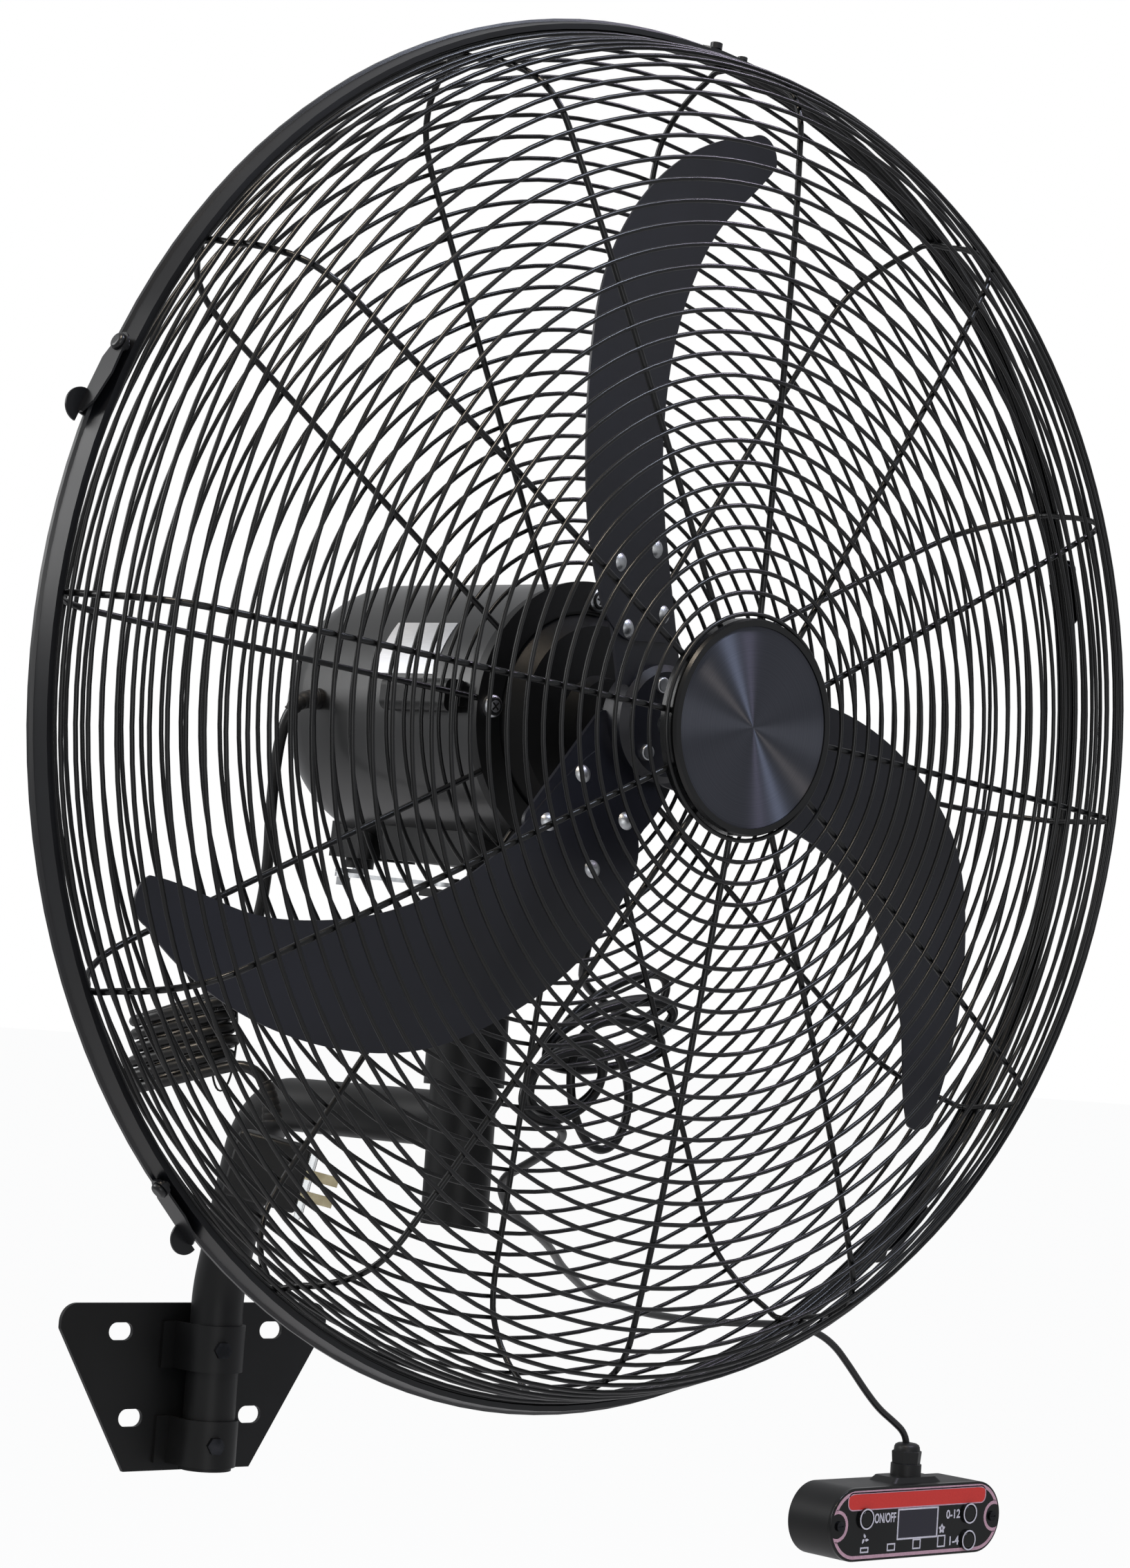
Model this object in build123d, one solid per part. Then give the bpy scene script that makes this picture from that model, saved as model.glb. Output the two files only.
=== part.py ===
"""Wall mounted industrial fan: wall bracket, arm, tilting and oscillating motor head,
wire guard, three-blade rotor, power cord with plug and a wired control box.

Row frame: X to the right seen from the room, Y into the wall, Z up, origin at the back
of the wall plate. The head is drawn in its own frame, with the fan axis along Y and the
origin at the rear edge of the guard hoop, and is then tilted and moved into place.
"""
from build123d import *
import math
import os

os.makedirs("parts", exist_ok=True)

# ---------------------------------------------------------------- sizes in millimetres
RUN = 0.05            # radial running clearance of a pin in its bore
SEAT = 0.05           # gap of a welded or clamped piece to its seat
FREE = 0.3            # gap between pieces that move past each other

# wall plate
PLATE_T = 3.0
PLATE_TOP_Z = 46.0
PLATE_BOTTOM_Z = -62.0
PLATE_TOP_HALF = 106.0
PLATE_BOTTOM_HALF = 50.0
PLATE_EDGE_DROP = 16.0
PLATE_CORNER_R = 12.0
SLOT_LENGTH = 18.5
SLOT_WIDTH = 11.5
SLOT_ROW_Z = 27.75
SLOT_TOP_SPACING = 120.0
SLOT_BOTTOM_SPACING = 95.0

# arm tube, its collars and set bolts
ARM_R = 17.0
ARM_WALL = 2.5
COLLAR_T = 2.5
COLLAR_HEIGHT = 30.0
COLLAR_ZS = (19.5, -41.5)
COLLAR_FOOT = 9.0
SET_BOLT_R = 3.0
SET_BOLT_AF = 10.0
SET_BOLT_HEAD = 4.5
SET_BOLT_TURN = -20.0
ARM_Y = -(PLATE_T + COLLAR_T + RUN + ARM_R + 0.4)
ARM_FOOT_Z = -59.0
ARM_LEAN_Z = 58.0
ARM_LEG_Z = 181.0
ARM_BEND_Y = -54.0
ARM_LEAN_R = 90.0
ARM_BEND_R = 46.0

# socket tube, neck sleeve and tilt joint
NECK_Y = -256.0
SOCKET_R = 20.3
SOCKET_WALL = 2.5
SOCKET_BOTTOM_Z = 119.0
SOCKET_TOP_Z = 216.0
SLEEVE_R = 24.3
SLEEVE_BOTTOM_Z = 202.0
SLEEVE_TOP_Z = 258.0
TILT_Z = 285.0
CHEEK_T = 6.0
CHEEK_R = 17.0
TILT_GAP = 30.0
TILT_BOLT_R = 5.0
TILT_BOLT_AF = 16.0
TILT_BOLT_HEAD = 6.5

# head placing: the hoop's rear edge centre from the tilt bolt, and the tilt at rest
HEAD_REACH = 118.4
HEAD_RISE = 133.3
HOOP_Y = NECK_Y - HEAD_REACH
HOOP_Z = TILT_Z + HEAD_RISE
HEAD_TILT = 3.3

# motor, in the head frame
MOTOR_R = 80.5
MOTOR_FRONT_Y = 42.0
MOTOR_REAR_Y = 245.0
MOTOR_CORNER_R = 42.0
MOTOR_WALL = 3.0
BELL_FLANGE_T = 6.0
BELL_FLANGE_W = 17.5
BELL_R = MOTOR_R - BELL_FLANGE_W
BELL_DEPTH = 14.0
BOSS_R = 27.0
BOSS_DEPTH = 24.0
SHAFT_R = 8.0
BEARING_R = 20.0
BEARING_W = 12.0
REAR_BEARING_Y = 226.0
STATOR_KEY = 3.5
STATOR_R = MOTOR_R - MOTOR_WALL - STATOR_KEY
STATOR_BORE_R = 45.0
STATOR_FRONT_Y = 92.0
STATOR_REAR_Y = 152.0
WINDING_LENGTH = 22.0
WINDING_THICKNESS = 18.0
AIR_GAP = 0.5
GROMMET_R = 6.5
GROMMET_IN = 6.0
GROMMET_OUT = 3.0
GROMMETS = ((180.0, 186.0), (-55.0, 70.0))      # angle and station of each

# rotor
SPIDER_Y = -30.0
SPIDER_T = 2.4
SPIDER_HUB_R = 34.0
SPIDER_HUB_FRONT = 9.0
SPIDER_HUB_BACK = 10.0
SPIDER_HUB_BEVEL = 4.0
SPIDER_ARM_HALF = 31.0
SPIDER_ARM_START = 16.0
SPIDER_ARM_END = 112.0
SPIDER_CORNER_R = 9.0
SPIDER_ARM_ANGLE = 17.8
BLADE_T = 1.6
BLADE_PHASE = 92.7
BLADE_SLOPE_ROOT = 0.25
BLADE_SLOPE_TIP = 0.12
BLADE_CAMBER = 7.0
BLADE_SHEET_HALF = 110.0
BLADE_FLAT_END = 116.0
BLADE_END = 385.0
BLADE_STATIONS = (20.0, 55.0, 90.0, 125.0, 160.0, 200.0, 240.0, 290.0, 340.0, BLADE_END)
# the outline, as distance from the fan axis and width beside the blade's centre line
BLADE_ROOT_INNER = (47.0, -6.0)
BLADE_ROOT_MIDDLE = (45.0, 32.0)
BLADE_ROOT_SHOULDER = (53.0, 53.0)
BLADE_ROOT_OUTER = (70.0, 66.0)
BLADE_OUTER_EDGE = ((100.0, 79.0), (150.0, 87.5), (195.0, 86.5), (240.0, 77.0), (278.0, 56.0), (309.0, 27.0),
                    (333.0, -8.0))
BLADE_TIP_OUTER = (350.0, -55.0)
BLADE_TIP_MIDDLE = (349.5, -71.0)
BLADE_TIP_INNER = (336.0, -77.0)
BLADE_INNER_EDGE = ((316.0, -58.0), (293.0, -33.0), (262.0, -12.0), (228.0, 3.0), (190.0, 11.5),
                    (150.0, 12.5), (105.0, 4.0))
RIVET_RADII = (60.0, 98.0)
RIVET_LATERAL = 18.4
RIVET_HEAD_R = 5.2
RIVET_R = 3.0
HUB_RIVET_CIRCLE = 23.0

# guards
SPOKE_COUNT = 12
SPOKE_PHASE = 147.3
SPOKE_R = 1.75
RING_R = 1.25
RIM_WIRE_R = 2.2
RING_PITCH = 12.0
WALL_PITCH = 8.8      # closer rings on the side wall of the front guard
WALL_FIRST = 7.5
HOOP_R = 400.0
HOOP_DEPTH = 12.4
HOOP_T = 1.2
HOOP_TAPER = 4.0
HOOP_REAR_LIP = 9.8
HOOP_FRONT_LIP = 7.0
HOOP_FOLD_Y = -3.5
RIM_INSET = 8.0
RIM_R = HOOP_R - RIM_INSET
REAR_RIM_Y = -(1.4 + FREE + RIM_WIRE_R)
FRONT_RIM_Y = REAR_RIM_Y - 2 * RIM_WIRE_R - 0.1
BADGE_R = 60.5
BADGE_Y = -109.0
BADGE_RIM_W = 4.5
MOUNT_RING_LIP = 1.5
MOUNT_RING_OUT = MOTOR_R + MOUNT_RING_LIP
MOUNT_RING_IN = BELL_R + MOUNT_RING_LIP
MOUNT_RING_T = 2.5
MOUNT_SCREW_INSET = 9.0
MOUNT_SCREW_CIRCLE = MOTOR_R - MOUNT_SCREW_INSET
# how far each corner of a guard lies inside the rim wire, and its station
FRONT_WALL = ((0.0, FRONT_RIM_Y), (1.0, -13.0), (5.2, -24.0), (7.5, -38.0), (16.0, -60.0), (27.0, -74.0),
              (42.0, -81.5))
FRONT_FACE = ((98.0, -88.5), (192.0, -96.5))
FRONT_MIDDLE = (BADGE_R + 2.5, BADGE_Y + 4.5)
REAR_CORNERS = ((0.0, REAR_RIM_Y), (6.5, 7.0), (13.0, 18.0), (26.0, 32.0), (43.0, 42.0), (62.0, 44.5))
REAR_MIDDLE = (MOUNT_RING_OUT + 11.0, MOTOR_FRONT_Y - 3.4)
FRONT_OUTER_W = 70.0  # width of the outer group of rings
REAR_OUTER_W = 87.0
MOUNT_SCREW_R = 3.0
MOUNT_SCREW_HEAD_R = 6.2
CLIP_ANGLES = (158.5, 223.5, 21.5, -43.5)
CLIP_LENGTH = 40.0
CLIP_RIVET_R = 2.5
CLIP_Y = -8.0
CLIP_T = 1.2
CLIP_LIP_GAP = 0.4
CLIP_HOOK = 9.0
CLASP_ANGLE = 87.0
CLASP_GAP = 1.2

# oscillation drive under the motor, in the head frame
BRACKET_DROP = 11.5
BRACKET_Z = -(MOTOR_R + BRACKET_DROP)   # underside of the bracket that carries the motor
BRACKET_WIDTH = 74.0
BRACKET_LENGTH = 96.0
BRACKET_HEIGHT = 34.0
NECK_TABLE_DROP = 20.0
NECK_TABLE_Z = BRACKET_Z - NECK_TABLE_DROP
NECK_TABLE_T = 5.0
PAN_Y = 110.5
PAN_PIN_R = 6.5
PAN_BUSH_R = 10.0
GEARBOX_Y = 215.0
GEARBOX_WIDTH = 46.0
GEARBOX_LENGTH = 40.0
GEARBOX_HEIGHT = 22.0
GEARBOX_DROP = 1.0
GEARBOX_BOSS_R = 9.0
GEARBOX_BOSS_DROP = 7.0
CRANK_SHAFT_R = 4.0
CRANK_X = -12.4
CRANK_R = 11.47
ANCHOR_X = -20.0
LINK_DROP = 12.0
LINK_Z = BRACKET_Z - LINK_DROP
LINK_T = 2.5
LINK_EYE_R = 7.1
LINK_PIN_R = 2.5

# control box on the wall
BOX_X = 673.0
BOX_Z = -120.0
BOX_WIDTH = 198.0
BOX_HEIGHT = 56.0
BOX_DEPTH = 45.0
BOX_WALL = 2.5
FACE_T = 3.0
BUTTON_R = 6.0
BUTTON_OUT = 2.5
BUTTON_TRAVEL = 1.2
BUTTON_COLLAR = 1.2
BUTTON_INSET = 38.5
STRIP_INSET = 10.2
STRIP_END = 19.0
STRIP_H = 12.4
STRIP_CORNER_R = 5.0
STRIP_W = BOX_WIDTH - 2 * STRIP_END
STRIP_Z = BOX_HEIGHT / 2 - STRIP_INSET
DISPLAY_X = 0.7
DISPLAY_W = 45.0
DISPLAY_H = 21.6
DISPLAY_GAP = 2.4
DISPLAY_Z = STRIP_Z - STRIP_H / 2 - DISPLAY_GAP - DISPLAY_H / 2
BUTTON_X = BOX_WIDTH / 2 - BUTTON_INSET
BUTTON_ROW_Z = STRIP_Z - STRIP_H / 2 - BUTTON_R - FREE - 0.8
BUTTON_LOW_Z = BUTTON_R + 4.5 - BOX_HEIGHT / 2
BUTTONS = {"button_on_off": (-BUTTON_X, BUTTON_ROW_Z), "button_time": (BUTTON_X, BUTTON_ROW_Z - 1.0),
           "button_speed": (BUTTON_X, BUTTON_LOW_Z)}
BOX_SCREW_INSET = 10.0
BOX_SCREW_SPACING = BOX_WIDTH - 2 * BOX_SCREW_INSET
BOX_SCREW_R = 2.25
POST_INSET = 29.0
GLAND_X = BOX_X + 9.0
GLAND_Y = -22.0
GLAND_R = 8.5
GLAND_HEIGHT = 20.0

# cords
POWER_R = 3.5
CONTROL_R = 2.75
POWER_HANK_CENTRE = (-100.0, -104.0, 217.0)
POWER_HANK_LOOPS = 5.75
POWER_HANK_HALF_LENGTH = 30.0
POWER_HANK_HALF_WIDTH = 17.0
POWER_HANK_RISE = 8.4
POWER_HANK_TURN = -42.0
POWER_HANK_SLOPE = 0.35
CONTROL_HANK_LOOPS = 8
CONTROL_HANK_STEP = 7.0
CONTROL_HANK_BACK = -257.5
CONTROL_HANK_ENTRY = 5.0
CONTROL_HANK_START = 0.625
# each turn: middle x at the front of the hank, middle z, half length, half width, lean in degrees
CONTROL_HANK_TURNS = ((92, 272, 24, 22, 20), (76, 246, 50, 16, 14), (74, 243, 54, 14, 15),
                      (72, 241, 55, 15, 16), (71, 238, 54, 17, 17), (70, 205, 27, 38, 8),
                      (38, 212, 33, 20, 25), (36, 206, 33, 19, 22), (36, 206, 33, 19, 22))
CONTROL_HANK_DRIFT = 0.92
CONTROL_HANK_FRONT = -305.0
# points that a free cord passes, in the row frame
POWER_UPPER = [(-99.5, -187.0, 420.5), (-101.5, -182.0, 405.0), (-98.0, -174.0, 383.0),
               (-95.0, -169.0, 357.0), (-93.0, -168.0, 330.0), (-92.0, -163.0, 300.0),
               (-95.0, -157.0, 277.0), (-93.0, -146.0, 259.0)]
POWER_TAIL = [(-80.0, -145.0, 206.5), (-68.3, -155.6, 192.0), (-67.0, -157.0, 172.0)]
CONTROL_UPPER = [(60.0, -298.0, 322.0), (66.0, -288.0, 302.0), (78.0, -270.0, 284.0), (90.0, -255.0, 271.0)]
LEAD_HEAD = [(36.0, -308.5, 178.5), (43.0, -298.0, 172.5), (45.0, -285.0, 166.3)]
LEAD_NECK = [(45.0, -285.0, 166.3), (47.476, -268.908, 158.625), (49.2, -251.5, 152.0)]
LEAD_ARM = [(49.2, -251.5, 152.0), (50.491, -238.471, 147.041), (61.0, -227.0, 135.5),
            (80.0, -217.0, 123.5), (104.0, -207.0, 114.0), (130.0, -193.0, 105.0),
            (157.0, -172.0, 96.0), (187.0, -148.0, 84.5), (221.0, -125.0, 73.5),
            (258.0, -100.0, 62.0), (303.0, -79.0, 52.5), (348.0, -60.0, 44.5),
            (388.0, -47.0, 39.5), (427.0, -40.0, 36.0), (470.0, -37.0, 33.8),
            (515.0, -36.0, 33.0), (550.0, -34.5, 29.0), (578.0, -32.5, 17.5),
            (601.0, -30.0, -1.0), (623.0, -27.5, -20.0), (643.0, -25.0, -35.0),
            (662.0, -23.2, -45.0), (677.0, -22.3, -54.0), (682.0, -22.0, -65.5),
            (682.0, -22.0, -77.5)]
PLUG_PLACE = Plane(origin=(-64.4, -153.2, 141.5), x_dir=(0.74, -0.65, -0.2), z_dir=(0.148, -0.13, 0.97))

# ---------------------------------------------------------------- helpers
HEAD = Pos(0, HOOP_Y, HOOP_Z) * Rot(X=HEAD_TILT)
written = []


def write(name, *solids):
    """Writes one sub-part: a solid, or a group of separate solids."""
    bodies = [s for shape in solids for s in shape.solids()]
    shape = bodies[0] if len(bodies) == 1 else Compound(children=bodies)
    shape.label = name
    export_step(shape, f"parts/{name}.step")
    written.append(name)


def rod(start, end, radius):
    """A round bar between two points."""
    a, b = Vector(*start), Vector(*end)
    plane = Plane(origin=a, z_dir=(b - a).normalized())
    return plane * Cylinder(radius, (b - a).length, align=(Align.CENTER, Align.CENTER, Align.MIN))


def along_y(radius, y_from, y_to, x=0.0, z=0.0):
    """A cylinder along the fan axis between two stations."""
    return rod((x, min(y_from, y_to), z), (x, max(y_from, y_to), z), radius)


def turned(*profile):
    """A solid of revolution about the fan axis from (radius, y) corners."""
    return revolve(make_face(Polyline(*profile, close=True)), Axis.Y)


def ring(radius, y, wire_r):
    """A round wire bent to a circle about the fan axis."""
    return Pos(0, y, 0) * Rot(X=90) * Torus(radius, wire_r)


def at_angle(angle, shape):
    """Turns a shape from the +X side of the fan to an angle seen from the front."""
    return Rot(Y=-angle) * shape


def hexagon_bolt(across_flats, height):
    """A hexagon head standing on the XY plane."""
    return extrude(RegularPolygon(across_flats / 2, 6, major_radius=False), amount=height)


def in_head(x, y, z):
    """A head-frame point in the row frame."""
    moved = HEAD * Pos(x, y, z)
    return moved.position


# ---------------------------------------------------------------- wall bracket
def wall_plate():
    slope_top = PLATE_TOP_Z - PLATE_EDGE_DROP
    outline = Polyline(
        (-PLATE_TOP_HALF, PLATE_TOP_Z), (PLATE_TOP_HALF, PLATE_TOP_Z), (PLATE_TOP_HALF, slope_top),
        (PLATE_BOTTOM_HALF, PLATE_BOTTOM_Z), (-PLATE_BOTTOM_HALF, PLATE_BOTTOM_Z),
        (-PLATE_TOP_HALF, slope_top), close=True)
    sheet = make_face(outline)
    corners = [v for v in sheet.vertices() if v.Y > PLATE_TOP_Z - 1]
    sheet = fillet(corners, PLATE_CORNER_R)
    shoulders = [v for v in sheet.vertices() if abs(v.Y - slope_top) < 1.0]
    sheet = fillet(shoulders, PLATE_EDGE_DROP / 6)
    for z, spacing in ((SLOT_ROW_Z, SLOT_TOP_SPACING), (-SLOT_ROW_Z, SLOT_BOTTOM_SPACING)):
        for side in (-1, 1):
            sheet -= Pos(side * spacing / 2, z) * SlotOverall(SLOT_LENGTH, SLOT_WIDTH)
    return extrude(Plane.XZ * sheet, amount=PLATE_T)


def collar_saddle(z):
    """A strap bent round the tube, with two feet on the plate."""
    inner = ARM_R + RUN
    outer = inner + COLLAR_T
    back = -PLATE_T - SEAT
    body = Pos(0, ARM_Y) * Circle(outer) + Pos(0, (ARM_Y + back) / 2) * Rectangle(2 * outer, back - ARM_Y)
    foot_y = back - COLLAR_T / 2
    body += Pos(0, foot_y) * Rectangle(2 * (outer + COLLAR_FOOT), COLLAR_T)
    body -= Pos(0, ARM_Y) * Circle(inner)
    body -= Pos(0, (ARM_Y + back) / 2 + COLLAR_T / 2) * Rectangle(2 * inner, back - ARM_Y + COLLAR_T)
    strap = extrude(Pos(0, 0, z - COLLAR_HEIGHT / 2) * body, amount=COLLAR_HEIGHT)
    bore = Cylinder(SET_BOLT_R + RUN, 30, align=(Align.CENTER, Align.CENTER, Align.MIN))
    return strap - set_bolt_axis(z) * bore


def set_bolt_axis(z):
    """A place on the tube axis whose Z looks out along the set bolt."""
    turn = math.radians(SET_BOLT_TURN)
    outward = Vector(math.sin(turn), -math.cos(turn), 0)
    return Plane(origin=(0, ARM_Y, z), z_dir=outward)


def set_bolt(z):
    start = ARM_R + RUN
    head = ARM_R + RUN + COLLAR_T + SEAT
    base = (Align.CENTER, Align.CENTER, Align.MIN)
    shank = Pos(0, 0, start) * Cylinder(SET_BOLT_R, head - start + 0.5, align=base)
    return set_bolt_axis(z) * (shank + Pos(0, 0, head) * hexagon_bolt(SET_BOLT_AF, SET_BOLT_HEAD))


# ---------------------------------------------------------------- arm
def arm_path():
    return FilletPolyline((0, ARM_Y, ARM_FOOT_Z), (0, ARM_Y, ARM_LEAN_Z), (0, ARM_BEND_Y, ARM_LEG_Z),
                          (0, NECK_Y, ARM_LEG_Z), radius=[ARM_LEAN_R, ARM_BEND_R])


def support_arm():
    path = arm_path()
    section = Plane(origin=path @ 0, z_dir=path % 0)
    outer = sweep(section * Circle(ARM_R), path=path)
    inner = sweep(section * Circle(ARM_R - ARM_WALL), path=path)
    keep_out = Pos(0, NECK_Y, ARM_LEG_Z) * Cylinder(SOCKET_R + SEAT, 4 * ARM_R)
    beyond = Pos(0, NECK_Y - SOCKET_R, ARM_LEG_Z) * Box(4 * ARM_R, 2 * SOCKET_R, 4 * ARM_R)
    return (outer - inner) - keep_out - beyond


def socket_tube():
    height = SOCKET_TOP_Z - SOCKET_BOTTOM_Z
    place = Pos(0, NECK_Y, SOCKET_BOTTOM_Z)
    base = (Align.CENTER, Align.CENTER, Align.MIN)
    tube = place * Cylinder(SOCKET_R, height, align=base)
    return tube - place * Cylinder(SOCKET_R - SOCKET_WALL, height, align=base)


def neck_sleeve():
    """The collar over the socket tube, with the two cheeks of the tilt joint on top."""
    base = (Align.CENTER, Align.CENTER, Align.MIN)
    lower = Pos(0, NECK_Y, SLEEVE_BOTTOM_Z) * Cylinder(SLEEVE_R, SLEEVE_TOP_Z - SLEEVE_BOTTOM_Z, align=base)
    lower -= Pos(0, NECK_Y, SLEEVE_BOTTOM_Z) * Cylinder(
        SOCKET_R + SEAT, SOCKET_TOP_Z + SEAT - SLEEVE_BOTTOM_Z, align=base)
    offset = (TILT_GAP + CHEEK_T) / 2
    for side in (-1, 1):
        eye = Pos(side * offset, NECK_Y, TILT_Z) * Rot(Y=90) * Cylinder(CHEEK_R, CHEEK_T)
        stem_height = TILT_Z - SLEEVE_TOP_Z + 2
        stem = Pos(side * offset, NECK_Y, TILT_Z - stem_height / 2) * Box(CHEEK_T, 2 * CHEEK_R, stem_height)
        lower += eye + stem
    return lower - rod((-60, NECK_Y, TILT_Z), (60, NECK_Y, TILT_Z), TILT_BOLT_R + RUN)


def tilt_bolt():
    reach = TILT_GAP / 2 + CHEEK_T + SEAT
    stub = 5.0
    bolt = rod((-reach, NECK_Y, TILT_Z), (reach + TILT_BOLT_HEAD + stub, NECK_Y, TILT_Z), TILT_BOLT_R)
    hexagon = hexagon_bolt(TILT_BOLT_AF, TILT_BOLT_HEAD)
    head = Plane(origin=(-reach, NECK_Y, TILT_Z), z_dir=(-1, 0, 0)) * hexagon
    nut = Plane(origin=(reach, NECK_Y, TILT_Z), z_dir=(1, 0, 0)) * hexagon
    nut -= rod((0, NECK_Y, TILT_Z), (60, NECK_Y, TILT_Z), TILT_BOLT_R + RUN)
    return bolt + head, nut


# ---------------------------------------------------------------- neck, drawn in the head frame
def tilt_point():
    """The tilt axis seen in the head frame, as (y, z)."""
    turn = math.radians(HEAD_TILT)
    dy, dz = NECK_Y - HOOP_Y, TILT_Z - HOOP_Z
    return (dy * math.cos(turn) + dz * math.sin(turn), dz * math.cos(turn) - dy * math.sin(turn))


def neck_block():
    """The eye on the tilt bolt, the table above it and the pan pin, in one casting."""
    y, z = tilt_point()
    width = TILT_GAP - 2 * FREE
    eye = Pos(0, y, z) * Rot(Y=90) * Cylinder(CHEEK_R - 1, width)
    top = NECK_TABLE_Z + NECK_TABLE_T
    post = Pos(0, y, (z + top) / 2) * Box(width, 26, top - z)
    table_place = Pos(ANCHOR_X / 2, PAN_Y, NECK_TABLE_Z + NECK_TABLE_T / 2)
    table = table_place * Box(abs(ANCHOR_X) + 30, 30, NECK_TABLE_T)
    base = (Align.CENTER, Align.CENTER, Align.MIN)
    pin = Pos(0, PAN_Y, top - 1) * Cylinder(PAN_PIN_R, BRACKET_Z + 11 - top, align=base)
    shoulder_height = BRACKET_Z - FREE - LINK_Z - 2
    shoulder = Pos(0, PAN_Y, LINK_Z + 2) * Cylinder(PAN_BUSH_R - 1, shoulder_height, align=base)
    block = eye + post + table + pin + shoulder
    block += rod((ANCHOR_X, PAN_Y, top - 1), (ANCHOR_X, PAN_Y, LINK_Z + LINK_T / 2 + 3), LINK_PIN_R)
    return block - rod((-60, y, z), (60, y, z), TILT_BOLT_R + RUN)


# ---------------------------------------------------------------- motor
def motor_cup(radius, start, end, bend):
    """A round body about the fan axis with a rounded rear corner."""
    shift = bend * (1 - math.sqrt(0.5))
    edges = [Line((0, start), (radius, start)), Line((radius, start), (radius, end - bend)),
             ThreePointArc((radius, end - bend), (radius - shift, end - shift), (radius - bend, end)),
             Line((radius - bend, end), (0, end)), Line((0, end), (0, start))]
    return revolve(make_face(edges), Axis.Y)


def motor_rear_housing():
    wall, rear, corner = MOTOR_WALL, MOTOR_REAR_Y, MOTOR_CORNER_R
    shell = motor_cup(MOTOR_R, MOTOR_FRONT_Y, rear, corner)
    shell -= motor_cup(MOTOR_R - wall, MOTOR_FRONT_Y - 1, rear - wall, corner - wall)
    seat = along_y(BEARING_R + 4, REAR_BEARING_Y - BEARING_W / 2, rear - wall)
    shell += seat
    shell -= along_y(BEARING_R + RUN, REAR_BEARING_Y - BEARING_W / 2, REAR_BEARING_Y + BEARING_W / 2)
    for angle, y in GROMMETS:
        shell -= at_angle(angle, rod((MOTOR_R - 20, y, 0), (MOTOR_R + 20, y, 0), GROMMET_R + SEAT))
    return shell


def motor_front_bell():
    front = MOTOR_FRONT_Y - SEAT
    flange = front - BELL_FLANGE_T
    dome = flange - BELL_DEPTH
    boss = flange - BOSS_DEPTH
    bell = turned((0, front), (MOTOR_R, front), (MOTOR_R, flange), (BELL_R, flange), (BELL_R - 7, dome),
                  (BOSS_R, dome), (BOSS_R - 2, boss), (0, boss))
    hollow = turned((0, front + 1), (BELL_R - 6, front + 1), (BELL_R - 12, dome + 4), (0, dome + 4))
    bell -= hollow
    bell -= along_y(SHAFT_R + 1.5, boss - 1, front + 2)
    bell -= along_y(BEARING_R + RUN, boss + 2.5, boss + 15)
    for angle in (0, 90, 180, 270):
        bell -= at_angle(angle, along_y(MOUNT_SCREW_R + RUN, flange - 1, flange + 5, x=MOUNT_SCREW_CIRCLE))
    return bell


def front_bearing_y():
    return MOTOR_FRONT_Y - SEAT - BELL_FLANGE_T - BOSS_DEPTH + 2.5 + BEARING_W / 2


def bearing(y):
    outer = along_y(BEARING_R, y - BEARING_W / 2 + 0.05, y + BEARING_W / 2 - 0.05)
    return outer - along_y(SHAFT_R + RUN, y - BEARING_W, y + BEARING_W)


def stator_core():
    core = along_y(STATOR_R, STATOR_FRONT_Y, STATOR_REAR_Y)
    core -= along_y(STATOR_BORE_R, STATOR_FRONT_Y - 1, STATOR_REAR_Y + 1)
    return core


def stator_keys():
    """Four ribs that hold the core in the shell."""
    ribs = []
    for angle in (45, 135, 225, 315):
        outer = MOTOR_R - MOTOR_WALL
        rib = Pos((STATOR_R + outer) / 2, (STATOR_FRONT_Y + STATOR_REAR_Y) / 2, 0) * Box(
            outer - STATOR_R - 0.4, STATOR_REAR_Y - STATOR_FRONT_Y, 10)
        ribs.append(at_angle(angle, rib))
    return ribs


def winding(front):
    """One end winding, a rounded bundle beside the core."""
    inner = STATOR_BORE_R + 4
    outer = inner + WINDING_THICKNESS
    y0 = STATOR_FRONT_Y - SEAT - WINDING_LENGTH if front else STATOR_REAR_Y + SEAT
    bundle = along_y(outer, y0, y0 + WINDING_LENGTH) - along_y(inner, y0 - 1, y0 + WINDING_LENGTH + 1)
    return fillet(bundle.edges().filter_by(GeomType.CIRCLE), 6)


def nameplate():
    """A blank label bent to the shell."""
    band = along_y(MOTOR_R + 0.5, 78, 138) - along_y(MOTOR_R + 0.05, 70, 150)
    window = Pos(-MOTOR_R, 108, 33) * Box(60, 56, 32)
    return band & window


def capacitor_box():
    body = Pos(-MOTOR_R - 4.5, 80, 4) * Box(16, 60, 19)
    body = fillet(body.edges().filter_by(Axis.Y), 5)
    tab = Pos(-MOTOR_R - 1.5, 80, 4) * Box(9, 72, 12)
    body += tab
    return body - along_y(MOTOR_R + 0.05, 20, 140)


def head_bracket():
    """The saddle under the motor with the pan bearing."""
    middle = Pos(0, PAN_Y + 12, BRACKET_Z + BRACKET_HEIGHT / 2)
    block = middle * Box(BRACKET_WIDTH, BRACKET_LENGTH, BRACKET_HEIGHT)
    block = fillet(block.edges().filter_by(Axis.Z), 10)
    block -= along_y(MOTOR_R + SEAT, -20, 300)
    block -= Pos(0, PAN_Y, BRACKET_Z) * Cylinder(PAN_BUSH_R, 40)
    return block


def pan_bush():
    base = (Align.CENTER, Align.CENTER, Align.MIN)
    height = 10.0
    bush = Pos(0, PAN_Y, BRACKET_Z) * Cylinder(PAN_BUSH_R - SEAT, height, align=base)
    return bush - Pos(0, PAN_Y, BRACKET_Z) * Cylinder(PAN_PIN_R + RUN, 60)


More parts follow.
